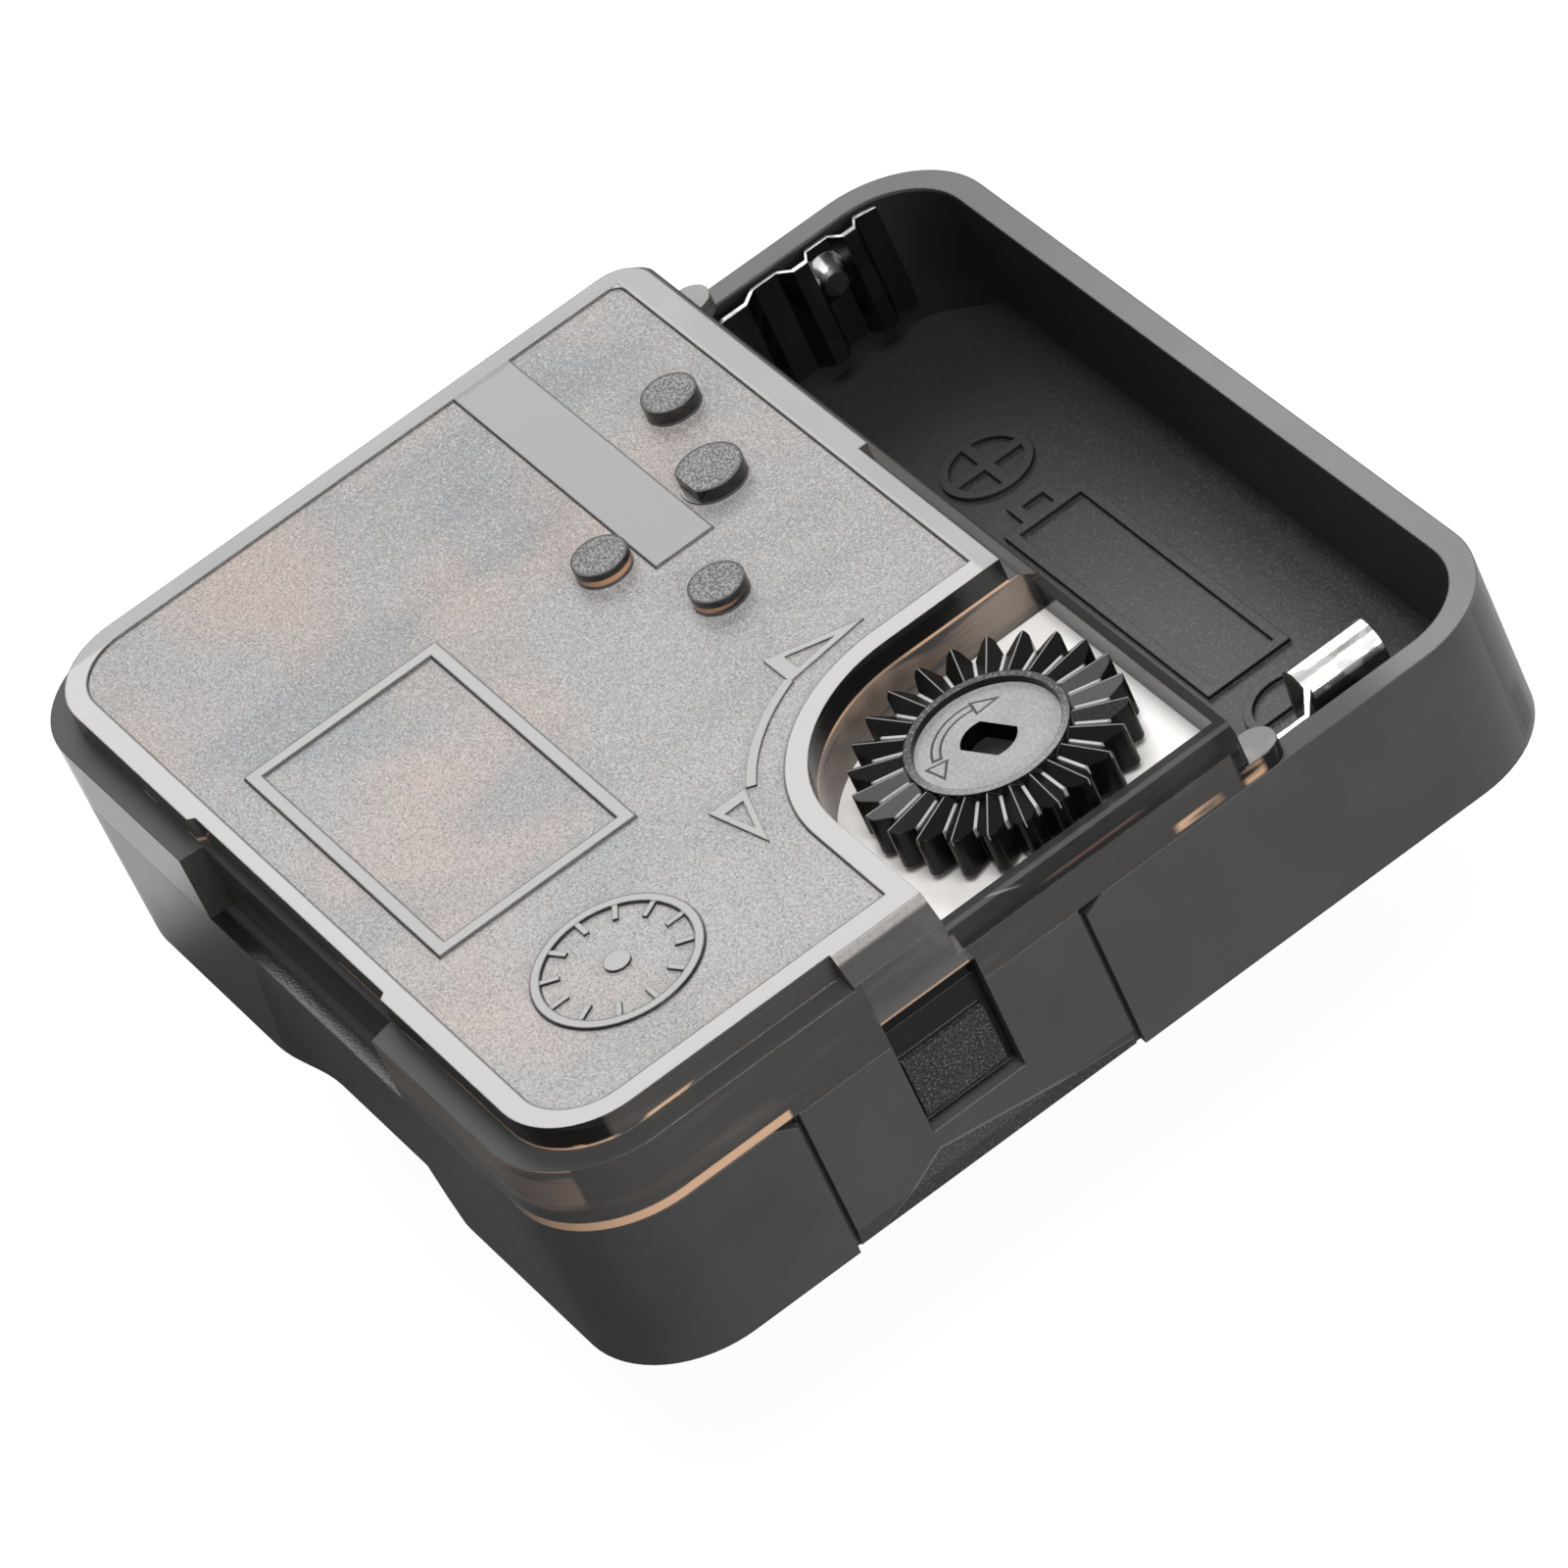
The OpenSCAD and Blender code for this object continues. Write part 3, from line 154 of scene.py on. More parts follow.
# What is left of a value after its last whole number, which repeats a pattern
def fraction(value):
    return value.maths("FRACT", value)


print("places ready, in millimetres")

# %% Grain, colours and dents
# Size is about that of one grain in millimetres, and stretch draws the grain out along an axis
def grain(wire, size, detail=2.0, stretch=(1, 1, 1)):
    spot = wire.node("ShaderNodeTexCoord", output="Object")
    scaled = wire.node("ShaderNodeVectorMath", {"operation": "MULTIPLY"},
                       {0: spot, 1: [mm_per_metre / size / along for along in stretch]})
    return wire.node("ShaderNodeTexNoise", inputs={"Vector": scaled, "Scale": 1.0, "Detail": detail})


def grey(level):
    return (level, level, level)


def tint(factor, first, second):
    first = first if isinstance(first, Wire) else (*first, 1.0)
    second = second if isinstance(second, Wire) else (*second, 1.0)
    return factor.node("ShaderNodeMix", {"data_type": "RGBA"}, {0: factor, 6: first, 7: second}, 2)


# Each layer is an area and its colour, and a later layer covers the earlier ones
def layered(colour, *layers):
    for area, paint in layers:
        colour = tint(area, colour, paint)
    return colour


def dents(height, depth, under=None):
    inputs = {"Height": height, "Distance": depth / mm_per_metre, "Strength": 1.0}
    if under:
        inputs["Normal"] = under
    return height.node("ShaderNodeBump", inputs=inputs)


def soft_edges(wire, radius):
    return wire.node("ShaderNodeBevel", {"samples": 4}, {"Radius": radius / mm_per_metre})


print("patterns ready")

# %% [markdown]
# One function starts a finish. It takes the sockets that are the same all over the part, and returns the
# material, a wire to build on and the shader that the patterns feed. Every finish could repeat these lines,
# but a function keeps each one down to what sets it apart.

# %% Start and wear a finish
def start_finish(name, **fixed):
    material = bpy.data.materials.new(name)
    material.use_nodes = True
    shader = material.node_tree.nodes["Principled BSDF"]
    for socket, value in fixed.items():
        shader.inputs[socket.replace("_", " ")].default_value = value
    return material, Wire(material.node_tree), shader


def feed(shader, **wires):
    for socket, wire in wires.items():
        wire.tree.links.new(wire.socket, shader.inputs[socket.replace("_", " ")])


def wear(material, *names):
    for name in names:
        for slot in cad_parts[name].material_slots:
            slot.material = material
    print(material.name, "on", ", ".join(names))


print("finishes can start")

# %% [markdown]
# The case is black moulded plastic. A real mould leaves it satin, with a fine spark-eroded texture that is
# coarser on the bay floor, on the catch and on the foot below the latch, whose upper edge slants. The grip
# side is glossier, and handling has worn the rim unevenly. The texture could be modelled, but it is far too
# fine, so it is a bump, and masks made from the place on the case say where it is coarse. Painted shade
# darkens the deep bay, most at its far end, the bay floor along the partition, the latch pocket, the sides
# of the raised marks, the grip side and the corner by the grip. A painted highlight runs as a pale line
# along the foot's upper edge.

# %% Black case
bay_y, bay_end_x, latch_y = 19.2, 27.0, -7.25
mark_sides_z, case_rim_z = 1.03, 9.2


# The second mask is the foot's upper edge, where a painted highlight line goes
def foot_below_latch(x, y, z):
    slant = highest(z + y * 0.168 - 0.65, z - (y + 14.2) * 0.56)
    sill = rise(x, 27.0, 27.1) * near(y, -6.6, 7.6)
    return sill * (1.0 - rise(slant, -0.05, 0.05)), sill * near(slant, 0.05, 0.05)


def case_black():
    material, wire, shader = start_finish("case black", IOR=1.5)
    x, y, z = place(wire)
    up = rise(facing_up(wire), 0.7, 0.9)
    bay_floor = near(y, bay_y, 7.4) * near(z, 1.7, 1.3, 0.4) * near(x, 0.0, 26.7)
    in_bay = near(y, bay_y, 7.6) * near(x, 0.0, bay_end_x) * near(z, 4.75, 4.35)
    # Painted shade: the bay grows darker towards its far end
    shaded_bay_end = in_bay * (1.0 - rise(x, -26.0, 12.0))
    # Painted shadow on the bay floor along the partition
    partition_shadow = in_bay * (1.0 - rise(y, 15.2, 17.2))
    # Painted shade on the upright sides of the raised marks
    mark_sides = near(y, bay_y, 3.2) * near(x, 0.0, 20.0) * near(z, mark_sides_z, 0.12, 0.02) * (1.0 - up)
    catch = near(y, latch_y, 2.7) * near(z, 5.85, 1.9) * near(x, 27.5, 0.3)
    # Painted shade in the latch pocket behind the catch
    pocket = near(y, latch_y, 2.8) * near(x, 27.0, 0.2) * rise(z, 3.2, 3.5)
    foot, foot_edge_highlight = foot_below_latch(x, y, z)
    # The grip side is glossier and has painted shade, and so has the corner by the grip
    grip_side_gloss_and_shade = (1.0 - rise(y, -27.3, -26.9)) * (1.0 - rise(x, 18.0, 22.0))
    shaded_corner_by_grip = rise(x, 20.0, 22.0) * (1.0 - rise(y, -22.0, -12.0))
    rim = rise(z, case_rim_z - 0.05, case_rim_z + 0.05) * up
    far_rim = rim * (1.0 - rise(x, -26.0, 8.0))
    near_rim = rim * rise(x, 26.3, 26.6) * (1.0 - rise(y, 17.0, 22.0))
    fine = grain(wire, 0.16, 3.0)
    coarse = grain(wire, 0.14, 4.0)
    cloud = grain(wire, 5.0, 2.0)
    rough_part = lowest(bay_floor * 0.8 + catch + foot, 1.0)
    speck = rise(coarse, 0.5, 0.72) * (rough_part + catch * 0.4)
    # Painted shade in the bay, on the grip side and by the corner, and a painted highlight on the foot's
    # edge
    shade = 0.05 + cloud * 0.02 - catch * 0.04 - foot * 0.02 - in_bay * 0.03 - rim * 0.012
    shade = shade + foot_edge_highlight * 0.06 - shaded_corner_by_grip * 0.014 - grip_side_gloss_and_shade * 0.04
    # Painted shade in the latch pocket, at the bay's far end, along the partition and on the mark sides
    level = (shade + speck * 0.07) * (1.0 - pocket * 0.8) * (1.0 - shaded_bay_end * 0.92)
    level = level * (1.0 - partition_shadow * 0.8) * (1.0 - mark_sides * 0.9)
    colour = wire.node("ShaderNodeCombineColor", inputs={0: level, 1: level, 2: level * 1.02})
    height = fine * (1.0 - rough_part) * 0.35 + coarse * (rough_part * 1.5 + catch * 2.0)
    feed(shader, Base_Color=colour, Normal=dents(height, 0.03, soft_edges(wire, 0.12)),
         Roughness=0.36 + cloud * 0.1 + rough_part * 0.12 - rim * 0.08 + far_rim * 0.12
         + near_rim * 0.3 + shaded_bay_end * 0.3 - grip_side_gloss_and_shade * 0.14)
    return material


wear(case_black(), "front_case")

# %% [markdown]
# The cover is smoked plastic, and on its top a thin dark line runs round each raised or sunk area, where a
# small wall bends the light away. Such lines could be cut into the mesh, but they are a play of light and
# not a shape. So each outline is a distance that is 0 on the line, below 0 inside it and above 0 outside,
# and the finish goes dark where the distance is small.

# %% Distances to an outline
def box_distance(x, y, centre, half):
    across = abs(x - centre[0]) - half[0]
    along = abs(y - centre[1]) - half[1]
    return highest(across, along)


def rounded_distance(x, y, centre, half, radius):
    across = abs(x - centre[0]) - (half[0] - radius)
    along = abs(y - centre[1]) - (half[1] - radius)
    outside = (highest(across, 0.0) ** 2.0 + highest(along, 0.0) ** 2.0) ** 0.5
    return outside + lowest(highest(across, along), 0.0) - radius


# How far a spot is from the middle of a round boss or ring
def radius_from(x, y, centre):
    return ((x - centre[0]) ** 2.0 + (y - centre[1]) ** 2.0) ** 0.5


def edge_line(distance, width=0.07):
    return 1.0 - rise(abs(distance), width * 0.5, width * 1.6)


print("distances ready")

# %% Lines on the cover
panel_centre, panel_half, panel_corner, bay_edge_y = (0, -4.05), (25.4, 21.35), 3.4, 9.3
knob_centre, tray_r, tray_band = (18.9, 3.45), 8.6, 1.2
frame_centre, frame_half, frame_inside = (0, -17.25), (10, 5.85), (9.3, 5.15)
strip_centre, strip_half = (-15.05, 0.65), (10.35, 1.75)
ring_centre, ring_outside_r, ring_inside_r = (17.9, -17.4), 4.4, 3.9
bosses = (((0, 0), 1.5), ((-14.5, 6.1), 1.5), ((-7.05, -2.8), 1.5), ((-7.75, 4.4), 1.8))


def tray_distance(x, y):
    left = knob_centre[0] - x
    below = knob_centre[1] - y
    return tray_r - (highest(left, 0.0) ** 2.0 + highest(below, 0.0) ** 2.0) ** 0.5


def boss_edges(x, y):
    nearest = None
    for centre, radius in bosses:
        distance = abs(radius_from(x, y, centre) - radius)
        nearest = distance if nearest is None else lowest(nearest, distance)
    return 1.0 - rise(nearest, 0.06, 0.24)


def cover_lines(x, y):
    panel = rounded_distance(x, y, panel_centre, panel_half, panel_corner)
    panel = highest(highest(panel, y - bay_edge_y), tray_distance(x, y) + tray_band)
    ring = radius_from(x, y, ring_centre)
    lines = edge_line(panel)
    for distance in (box_distance(x, y, frame_centre, frame_half),
                     box_distance(x, y, frame_centre, frame_inside),
                     box_distance(x, y, strip_centre, strip_half),
                     ring - ring_outside_r, ring - ring_inside_r):
        lines = highest(lines, edge_line(distance))
    return lines, 1.0 - rise(panel, -0.4, -0.2)


print("lines ready, round", len(bosses), "bosses too")

# %% [markdown]
# The top of the cover is a grained panel with a polished band round it. The grain scatters light, so the
# panel looks pale and silky, with warm and cool clouds of what shows through from below, and a painted sheen
# makes it paler towards one corner. Full refraction could show the parts below for real, but it takes many
# more samples. So the alpha lets only a little of them through, two wide noises give the clouds, and a fine
# one gives the bright and dark specks of the grain. The band is smooth and greyer, and darker on the bay
# side and the far side.

# %% Top of the cover
def silky_panel(wire, x, y, speck, boss):
    warm = rise(grain(wire, 9.0, 1.0, (1.8, 1, 1)), 0.45, 0.68)
    cool = rise(grain(wire, 8.0, 1.0, (1, 1.4, 2)), 0.46, 0.68)
    # Painted sheen: the panel grows paler towards the corner at high x and low y
    pale = rise(x - y, -20.0, 36.0)
    dark_speck = 1.0 - rise(speck, 0.25, 0.52)
    pale_speck = rise(speck, 0.5, 0.72)
    return layered(tint(warm, (0.28, 0.272, 0.268), (0.35, 0.285, 0.25)),
                   (cool * 0.8, (0.2, 0.21, 0.222)),
                   (pale * 0.22, (0.56, 0.55, 0.54)),
                   (dark_speck * 0.7, grey(0.1)),
                   (pale_speck * 0.65, tint(warm, grey(0.5), (0.54, 0.47, 0.43))),
                   (boss, tint(rise(speck, 0.42, 0.6), grey(0.05), grey(0.24))))


def polished_band(x, y, patches, inside_panel, dark_band_sides):
    in_strip = near(y, strip_centre[1], strip_half[1]) * (1.0 - rise(x, -4.6, -4.5)) * rise(x, -25.5, -25.3)
    return layered(tint(patches, grey(0.26), (0.3, 0.285, 0.27)),
                   (in_strip, grey(0.03)),
                   (inside_panel * 0.6, grey(0.14)),
                   (dark_band_sides, tint(patches, grey(0.06), grey(0.2))))


print("top of the cover ready")

# %% [markdown]
# The upright walls stay dark and glassy, and painted shade makes the upper walls of the knob's tray, the
# wall on the bay side, the sloping rim outside the tray and the sides of the bosses nearly black. Light that
# has passed through the parts below leaves a brown sheen in the knob's tray and copper coloured glints on
# some edges, and beside the tray the slope has a dark reddish line along its lower edge and a fine pale
# nick.
# Real refraction would move the glints with the viewer, and an exported model can't keep it. So they are
# painted where the real cover shows them, by height and place, and broken up by upright streaks.

# %% Walls, glints and marks on the slope
tongue_y, tray_floor_z = -7.4, 10.75
copper = (0.68, 0.43, 0.28)


def glassy_walls(x, y, z, top, in_tray, slope, streaks):
    bay_side = rise(y, 10.9, 11.2) * rise(x, 10.0, 10.4)
    boss_side = rise(z, 14.93, 14.98) * (1.0 - top)
    glow = rise(streaks, 0.48, 0.6) * near(z, 15.15, 0.16, 0.06) * rise(x, -12.0, -11.0)
    tongue = near(y, tongue_y, 2.6) * rise(x, 27.4, 27.5) * near(z, 12.1, 1.5, 0.1)
    # Painted shade makes the tray's upper walls, the bay side, the slope and the boss sides nearly black
    return layered(tint(rise(streaks, 0.5, 0.75), (0.062, 0.06, 0.058), (0.085, 0.08, 0.076)),
                   (in_tray * rise(streaks, 0.3, 0.5), (0.2, 0.155, 0.125)),
                   (highest(in_tray * rise(z, 13.45, 13.55), bay_side), grey(0.006)),
                   (slope, grey(0.005)),
                   (boss_side, tint(glow, grey(0.006), (0.4, 0.22, 0.13))),
                   (tongue * (0.4 + rise(streaks, 0.3, 0.6) * 0.6), (0.1, 0.096, 0.092)))


def copper_glints(wire, x, y, z, in_tray, patches, streaks):
    lip = near(z, 9.62, 0.26, 0.05) * (1.0 - rise(y, -15.9, -15.7)) * rise(x, 20.5, 24.0)
    spark = near(z, 13.5, 0.1, 0.05) * rise(grain(wire, 2.5, 1.0), 0.52, 0.6) * (1.0 - rise(y, -16.0, -10.0))
    hook = near(z, 9.8, 0.5, 0.1) * near(y, 11.8, 0.6, 0.2) * rise(x, 26.8, 27.2) * rise(streaks, 0.3, 0.5)
    ribbon = near(z, 13.45, 0.08, 0.05) * in_tray * rise(patches, 0.3, 0.45)
    lug = near(z, 9.75, 0.24, 0.08) * near(y, 8.5, 1.3, 0.3) * rise(x, 27.8, 27.9)
    lug = lug * rise(streaks, 0.22, 0.42)
    tongue_foot = near(z, tray_floor_z, 0.08, 0.04) * near(y, tongue_y, 2.6) * rise(x, 26.9, 27.0)
    return lowest(lip + spark + hook + ribbon + lug + tongue_foot * 0.7, 1.0)


def slope_marks(x, y, z, slope, streaks):
    # A dark reddish line along the lower edge of the slope, and a fine pale nick on the slope
    reddish_edge_line = near(z, 11.78, 0.05, 0.04) * near(y, 3.2, 2.8, 0.8) * rise(x, 27.5, 27.8)
    nick = near(z + (y + 1.6) * 0.25, 12.38, 0.04, 0.03) * near(y, -1.6, 0.8, 0.3) * slope
    return ((reddish_edge_line * 0.7, (0.11, 0.06, 0.05)),
            (nick * rise(streaks, 0.42, 0.56) * 0.6, grey(0.24)))


print("walls of the cover ready")

# %% [markdown]
# One finish now joins the top and the walls. The cover is a single moulding, so it gets a single material,
# and masks made from the height and the way each face looks tell the panel, the band, the bosses, the floor
# of the tray and the ledge apart. The tray floor's pale colour is a painted reflection, and the ledge, the
# rim and the faces in the latch window get painted shade. Separate materials would need their borders cut in
# the mesh.

# %% Smoked cover
cover_rim_z, ledge_z = 12.6, 13.4
above_walls_z, panel_z, above_band_z = 14.5, 14.84, 15.5
slope_look = 0.63


def smoked_cover():
    material, wire, shader = start_finish("smoked cover", IOR=1.55)
    x, y, z = place(wire)
    look = facing_up(wire)
    up = rise(look, 0.5, 0.8)
    top = up * rise(z, above_walls_z - 0.1, above_walls_z + 0.1)
    boss = top * rise(z, above_band_z - 0.1, above_band_z + 0.1)
    grained = top * (1.0 - rise(z, panel_z - 0.03, panel_z + 0.03)) + boss
    tray_floor = up * near(z, tray_floor_z, 0.2) * rise(x, 10.0, 10.5)
    ledge = up * near(z, ledge_z, 0.2)
    rim = up * near(z, cover_rim_z, 0.2)
    dark_band_sides = highest(rise(y, 9.2, 9.6), 1.0 - rise(x, -25.6, -25.2)) * (top - grained)
    in_tray = rise(x, 10.0, 10.3) * (1.0 - rise(x, 26.3, 26.5)) * rise(z, 10.6, 10.8)
    slope = rise(x, 26.9, 27.0) * near(look, slope_look, 0.15) * near(z, 12.05, 0.6) * rise(y, -5.4, -5.2)
    window = near(y, latch_y, 2.85) * near(x, 27.1, 0.3) * (1.0 - rise(z, 10.6, 10.8))
    speck = grain(wire, 0.13, 2.5)
    patches = grain(wire, 9.0, 2.0)
    streaks = grain(wire, 2.4, 2.0, (3, 3, 0.35))
    lines, inside_panel = cover_lines(x, y)
    walls = glassy_walls(x, y, z, top, in_tray, slope, streaks)
    walls = tint(copper_glints(wire, x, y, z, in_tray, patches, streaks), walls, copper)
    flats = tint(grained, polished_band(x, y, patches, inside_panel, dark_band_sides),
                 silky_panel(wire, x, y, speck, boss))
    # Painted reflection on the pale tray floor, and painted shade on the ledge, the rim and the latch window
    colour = layered(tint(top, walls, flats),
                     (tray_floor, (0.86, 0.84, 0.82)),
                     (ledge, grey(0.03)),
                     (rim, grey(0.008)),
                     (window, grey(0.006)),
                     *slope_marks(x, y, z, slope, streaks),
                     (lines * top * (1.0 - boss) * 0.85, grey(0.02)),
                     (boss * boss_edges(x, y) * 0.8, grey(0.012)))
    height = speck * grained + grain(wire, 0.5, 4.0, (12, 1, 1)) * 0.04
    feed(shader, Base_Color=colour, Normal=dents(height, 0.035, soft_edges(wire, 0.1)),
         Roughness=0.1 + grained * 0.38 + ledge * 0.45 + rim * 0.8 + tray_floor * 0.2
         + (patches + dark_band_sides) * 0.05,
         Alpha=0.86 + top * 0.08 + tray_floor * 0.14 + ledge * 0.14)
    return material


wear(smoked_cover(), "rear_cover")

# %% [markdown]
# The setting knob is glossy black. Light catches the floor of each gap between two teeth and the ridge of
# each tooth, so fine pale lines run out from the middle. The disc is flat and satin, with a fine double
# arrow cut into it, and the ring round it is slightly rough. The teeth are solid, but lines this fine would
# take more faces than the whole knob. So they are drawn by the angle round the knob's own axis, and the
# arrow by its distance, as a dark line that is also pressed into the bump.

# %% Lines on the knob
knob_teeth, disc_r, hole_r, arrow_r = 24, 3.75, 1.5, 2.67
arrow_heads = (((-2.07, 1.85), (-2.9, 0.75), (-1.98, 0.58)),
               ((0.52, -2.98), (-0.48, -2.2), (-0.77, -3.25)))


def corner_distance(x, y, corners):
    distance = None
    for (ax, ay), (bx, by) in zip(corners, corners[1:] + corners[:1]):
        length = math.hypot(bx - ax, by - ay)
        side = (x - ax) * ((by - ay) / length) + (y - ay) * ((ax - bx) / length)
        distance = side if distance is None else highest(distance, side)
    return distance


def double_arrow(across, along, radius):
    ends = radius * 0.737 + across * 0.887 + along * 0.462
    arrow = highest(abs(radius - arrow_r) - 0.22, ends)
    for head in arrow_heads:
        arrow = lowest(arrow, corner_distance(across, along, head))
    return 1.0 - rise(abs(arrow), 0.03, 0.08)


# The angle gets two whole turns and a little more, which keeps it above 0 and puts the gaps in step
def tooth_lines(across, along, radius, z):
    angle = across.maths("ARCTAN2", along, across) * (180 / math.pi)
    part = abs(fraction((angle + 723.0) / (360 / knob_teeth)) - 0.5)
    arc = radius * (2 * math.pi / knob_teeth)
    gap = (1.0 - rise(part * arc, 0.07, 0.1)) * rise(radius, 4.3, 4.4) * (1.0 - rise(radius, 6.1, 6.2))
    ridge = (1.0 - rise((0.5 - part) * arc, 0.02, 0.05)) * rise(radius, 4.25, 4.35) * rise(z, 13.2, 13.3)
    return gap * rise(z, 12.6, 12.8) * 0.4 + ridge * 0.22


print("knob lines ready for", knob_teeth, "teeth")

# %% Setting knob
def knob_black():
    material, wire, shader = start_finish("knob black", IOR=1.3)
    x, y, z = place(wire)
    across, along = x - knob_centre[0], y - knob_centre[1]
    radius = (across ** 2.0 + along ** 2.0) ** 0.5
    up = rise(facing_up(wire), 0.8, 0.95)
    off_disc = rise(radius, disc_r, disc_r + 0.07)
    hole = (1.0 - rise(radius, hole_r, hole_r + 0.05)) * (1.0 - up)
    disc = (1.0 - off_disc) * up
    ring = off_disc * (1.0 - rise(radius, 4.15, 4.25)) * up * rise(z, 13.6, 13.7)
    arrow = double_arrow(across, along, radius)
    speck = grain(wire, 0.2, 3.0)
    cloud = grain(wire, 2.5, 2.0)
    lit = rise(across - along * 0.3, -1.0, 4.0)
    ring_level = ring * (0.03 + lit * 0.16 + rise(speck, 0.5, 0.65) * 0.1)
    mottled = 0.19 + cloud * 0.14 + rise(speck, 0.4, 0.65) * 0.06
    level = 0.004 + tooth_lines(across, along, radius, z) + disc * mottled + ring_level
    # Painted shade darkens the inside of the key hole
    level = level * (1.0 - arrow * disc * 0.85) * (1.0 - hole * 0.9)
    colour = wire.node("ShaderNodeCombineColor", inputs={0: level, 1: level, 2: level})
    height = speck * (0.25 + ring) - arrow * disc * 2.0
    feed(shader, Base_Color=colour, Normal=dents(height, 0.03, soft_edges(wire, 0.1)),
         Roughness=0.22 + (disc + ring) * 0.2 + speck * 0.06)
    return material


wear(knob_black(), "setting_knob")

# %% [markdown]
# Small moulded parts share one recipe and differ in colour. Acetal wheels are milky and a little waxy, the
# bobbin is dark. Each could have a plain colour, but real mouldings never look even. So each gets faint
# clouds in its colour and the fine skin of a mould.

# %% Moulded plastic
def moulded(name, low, high, gloss, skin=0.2):
    material, wire, shader = start_finish(name, IOR=1.48)
    cloud = grain(wire, 1.8, 3.0)
    fine = grain(wire, skin, 2.0)
    colour = tint(rise(cloud, 0.35, 0.65), low, high)
    feed(shader, Base_Color=colour, Roughness=gloss + fine * 0.15,
         Normal=dents(fine, 0.015, soft_edges(wire, 0.06)))
    return material


wear(moulded("milky acetal", (0.66, 0.64, 0.58), (0.76, 0.74, 0.69), 0.34),
     "hour_wheel", "centre_wheel", "third_wheel", "middle_plate")
wear(moulded("pale green acetal", (0.34, 0.52, 0.42), (0.42, 0.6, 0.5), 0.34),
     "second_wheel", "motion_wheel")
wear(moulded("amber acetal", (0.62, 0.4, 0.16), (0.72, 0.5, 0.24), 0.32), "intermediate_wheel",
     "rotor_pinion")
wear(moulded("black nylon", (0.016, 0.016, 0.018), (0.03, 0.03, 0.032), 0.36), "coil_bobbin")
wear(moulded("black acetal", grey(0.003), grey(0.008), 0.6), "setting_arbor")
wear(moulded("potting resin", (0.012, 0.012, 0.013), (0.022, 0.022, 0.024), 0.12, 0.6), "chip_resin")

# %% [markdown]
# Metals differ by how they were worked. Drawn and turned parts carry fine lines along or round them, rolled
# sheet has long faint streaks, and plated sheet is smooth with small scuffs. A shader can stretch its own
# gloss for this, but that needs coordinates unwrapped from the mesh. So the lines are a bump, and their
# direction comes from stretching the noise along one axis.

# %% Metals
def metal(name, low, high, gloss, stretch=(1, 1, 1), line=0.12, depth=0.008):
    material, wire, shader = start_finish(name, Metallic=1.0)
    lines = grain(wire, line, 3.0, stretch)
    stain = grain(wire, 3.0, 3.0)
    scuff = rise(grain(wire, 0.8, 4.0), 0.6, 0.72)
    colour = tint(rise(stain, 0.35, 0.7), low, high)
    feed(shader, Base_Color=colour, Roughness=gloss + lines * 0.12 + scuff * 0.12,
         Normal=dents(lines, depth, soft_edges(wire, 0.05)))
    return material


wear(metal("turned brass", (0.66, 0.45, 0.17), (0.8, 0.6, 0.28), 0.2, (8, 8, 1)), "threaded_bush",
     "minute_shaft", "coil_terminals")
wear(metal("drawn steel", (0.5, 0.5, 0.5), (0.62, 0.62, 0.63), 0.16, (1, 1, 12)), "second_arbor",
     "core_screws", "clutch_spring")
wear(metal("rolled iron", (0.25, 0.25, 0.245), (0.34, 0.34, 0.335), 0.34, (1, 14, 1)), "stator_left",
     "stator_right", "coil_core")
wear(metal("crystal can", (0.58, 0.58, 0.57), (0.7, 0.7, 0.7), 0.22, (10, 1, 1)), "quartz_crystal")
wear(metal("tin solder", (0.5, 0.51, 0.52), (0.66, 0.67, 0.68), 0.22, (1, 1, 1), 0.4, 0.02), "solder_joints")
wear(metal("sintered magnet", (0.09, 0.09, 0.1), (0.16, 0.16, 0.17), 0.46, (1, 1, 1), 0.2, 0.02),
     "rotor_magnet")

# %% [markdown]
# The two battery contacts are nickel-plated spring sheet. Plating is bright but never perfect: it has
# faint rolling lines across the leaf, and duller, grainy patches where the cell has rubbed. A single noise
# could drive all of this, but rubbed patches are wide and the lines are fine, so each has its own. The nub
# and the top of the roll at the top of the sprung leaf are paler: a painted highlight.

# %% Nickel contacts
nub_place, roll_z = (-26.2, 19.8, 6.95), 8.98


def nickel(name, bright, dull):
    material, wire, shader = start_finish(name, Metallic=1.0)
    x, y, z = place(wire)
    lines = grain(wire, 0.1, 3.0, (1, 16, 1))
    rubbed = rise(grain(wire, 1.6, 3.0), 0.5, 0.62)
    speck = grain(wire, 0.14, 2.0)
    nub = near(x, nub_place[0], 0.9, 0.3) * near(y, nub_place[1], 1.1, 0.4) * near(z, nub_place[2], 1.0, 0.4)
    roll = rise(z, roll_z - 0.01, roll_z + 0.01) * rise(rubbed + x * -0.05, -1.0, 1.2)
    # Painted highlight: the nub and the top of the roll are paler
    colour = layered(tint(rubbed, bright, dull), (roll * 0.18 + nub * 0.12, grey(0.78)))
    feed(shader, Base_Color=colour, Roughness=0.16 + rubbed * 0.22 + lines * 0.08,
         Normal=dents(lines * 0.6 + speck * rubbed * 0.6, 0.012, soft_edges(wire, 0.06)))
    return material


wear(nickel("nickel sheet", (0.62, 0.62, 0.61), (0.36, 0.36, 0.35)), "negative_contact")
# The positive contact stands at the dark far end of the bay, so its colour is near black: painted shade
wear(nickel("shaded nickel", (0.1, 0.1, 0.1), (0.04, 0.04, 0.04)), "positive_contact")

# %% [markdown]
# The coil is wound from enamelled copper wire. Several thousand turns could be modelled, but they would only
# slow the scene. So waves round the coil's axis stand for the turns, and a soft unevenness shows how layers
# cross.

# %% Copper winding
wire_pitch = 0.14


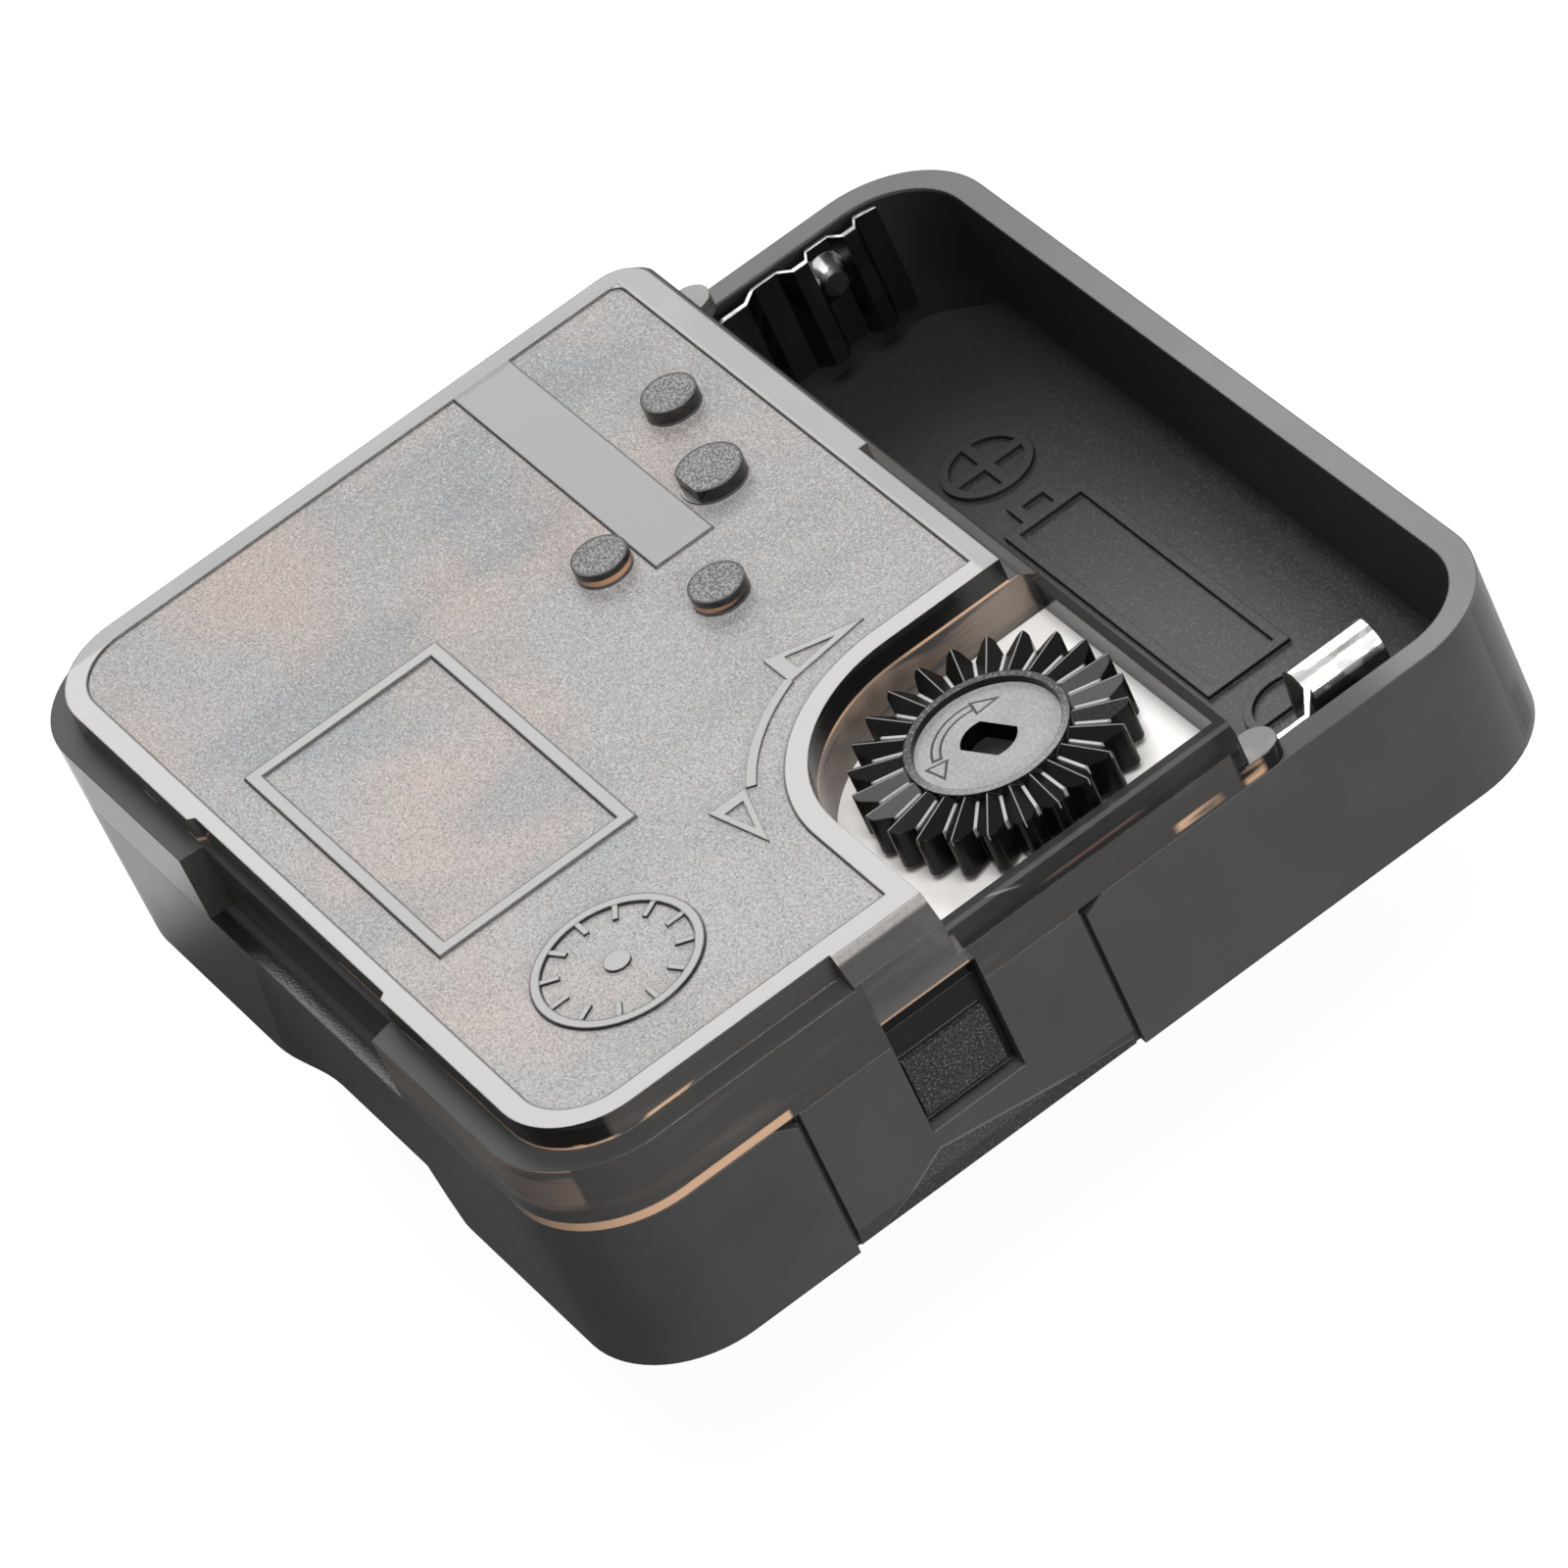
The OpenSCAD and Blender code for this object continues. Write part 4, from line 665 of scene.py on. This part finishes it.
def winding():
    material, wire, shader = start_finish("enamelled wire", Metallic=0.85, Coat_Weight=0.6,
                                          Coat_Roughness=0.1)
    sway = grain(wire, 3.0, 2.0)
    turn = (place(wire)[0] + sway * 0.25) / wire_pitch
    wave = abs(fraction(turn) - 0.5) * 2.0
    colour = tint(wave * 0.7 + sway * 0.3, (0.28, 0.09, 0.03), (0.62, 0.26, 0.11))
    feed(shader, Base_Color=colour, Roughness=0.24 + sway * 0.12, Normal=dents(1.0 - wave, 0.05))
    return material


wear(winding(), "coil_winding")

# %% [markdown]
# The circuit board is green lacquer over copper. Straight tracks run along the board in some areas and
# across it in others, and stop at bare patches. They stand slightly proud. Each track could be a solid, but
# the cover hides them nearly always. So one repeated line is enough, with two noises that say where it
# turns and where it stops. The cut edge shows the board's bare glass fibre.

# %% Circuit board
track_pitch = 1.15


def board_green():
    material, wire, shader = start_finish("board lacquer", IOR=1.5, Coat_Weight=0.4)
    x, y = place(wire)[:2]
    flat = rise(abs(facing_up(wire)), 0.6, 0.9)
    rows, columns = [fraction((axis + 100.0) / track_pitch) for axis in (y, x)]
    turned = rise(grain(wire, 4.5, 0.0, (1, 1, 9)), 0.49, 0.51)
    covered = rise(grain(wire, 3.4, 1.0, (1.6, 1, 9)), 0.42, 0.44)
    track = near(rows, 0.5, 0.22, 0.03) * turned + near(columns, 0.5, 0.22, 0.03) * (1.0 - turned)
    track = track * covered * flat
    weave = grain(wire, 0.3, 2.0, (3, 1, 1))
    colour = layered(tint(track, (0.02, 0.11, 0.045), (0.07, 0.26, 0.1)), (1.0 - flat, (0.46, 0.4, 0.22)))
    feed(shader, Base_Color=colour, Roughness=0.3 + weave * 0.14, Normal=dents(track + weave * 0.2, 0.03))
    return material


wear(board_green(), "circuit_board")

# %% [markdown]
# The set is a pale floor under the movement, which stands on the tip of its hand shaft. The floor is white
# for the camera and for rays that come through the smoked plastic, while its own colour stays plain, so it
# keeps the shadow and throws no extra light on the part. Near the movement, where its shadow would fall,
# mirrored rays see the floor dark, and behind it they see it bright. This puts the pale edges on the
# corners and keeps the sides black. More lamps could do this too, but they would turn the pale surfaces
# white.

# %% Floor
floor_reach, floor_gap = 3.0, 0.0001


def make_floor():
    mesh = bpy.data.meshes.new("floor")
    low = movement_box[0][2] - floor_gap
    corners = ((-1, -1), (1, -1), (1, 1), (-1, 1))
    mesh.from_pydata([(x * floor_reach, y * floor_reach, low) for x, y in corners], [], [(0, 1, 2, 3)])
    floor = bpy.data.objects.new("floor", mesh)
    bpy.context.collection.objects.link(floor)
    material, wire, shader = start_finish("floor", Base_Color=(0.08, 0.08, 0.08, 1), Roughness=0.9,
                                          Emission_Strength=0.94)
    camera_ray, glossy_ray, transmitted_ray = [
        wire.node("ShaderNodeLightPath", output=i) for i in
        ("Is Camera Ray", "Is Glossy Ray", "Is Transmission Ray")]
    x, y = place(wire)[:2]
    far = 1.0 - rise(x, -44.0, -35.0)
    behind = rise(y, 24.0, 36.0) * (1.0 - rise(x, 25.0, 45.0))
    mirrored = 0.01 + rise(x, -20.0, -8.0) * 0.06 + highest(far, behind) * 0.93
    seen = lowest(camera_ray + glossy_ray * mirrored + transmitted_ray, 1.0)
    feed(shader, Emission_Color=tint(seen, grey(0.0), grey(1.0)))
    mesh.materials.append(material)
    return floor


floor = make_floor()
print("floor at", round(floor.data.vertices[0].co.z * mm_per_metre, 2), "mm")

# %% [markdown]
# The light is that of a plain studio. A large soft box faces the camera across the top, because smoked
# plastic shows its gloss only against something bright. Two more light the top and the right side, and an
# even white world fills the rest. Small hard lamps would be simpler, but they put sharp sparks on every
# edge, where the real part shows long soft ones.

# %% Light
world_strength = 0.36


def soft_box(name, direction, distance, size, watts):
    lamp = bpy.data.lights.new(name, "AREA")
    lamp.shape = "RECTANGLE"
    lamp.size, lamp.size_y = size
    lamp.energy = watts
    stand = bpy.data.objects.new(name, lamp)
    stand.location = Vector(direction).normalized() * distance
    stand.rotation_euler = (-stand.location).to_track_quat("-Z", "Y").to_euler()
    bpy.context.collection.objects.link(stand)


world = bpy.data.worlds.new("studio")
bpy.context.scene.world = world
world.use_nodes = True
world.node_tree.nodes["Background"].inputs["Color"].default_value = (1, 1, 1, 1)
world.node_tree.nodes["Background"].inputs["Strength"].default_value = world_strength
soft_box("soft box across", (-0.735, 0.29, 0.61), 0.7, (0.34, 0.4), 2.1)
soft_box("soft box above", (0.35, 0.0, 0.92), 0.8, (0.45, 0.45), 4.8)
soft_box("soft box right", (0.9, 0.25, 0.3), 0.8, (0.4, 0.3), 4.0)
bpy.context.scene.view_settings.view_transform = "Standard"
print("lamps:", len(bpy.data.lights))
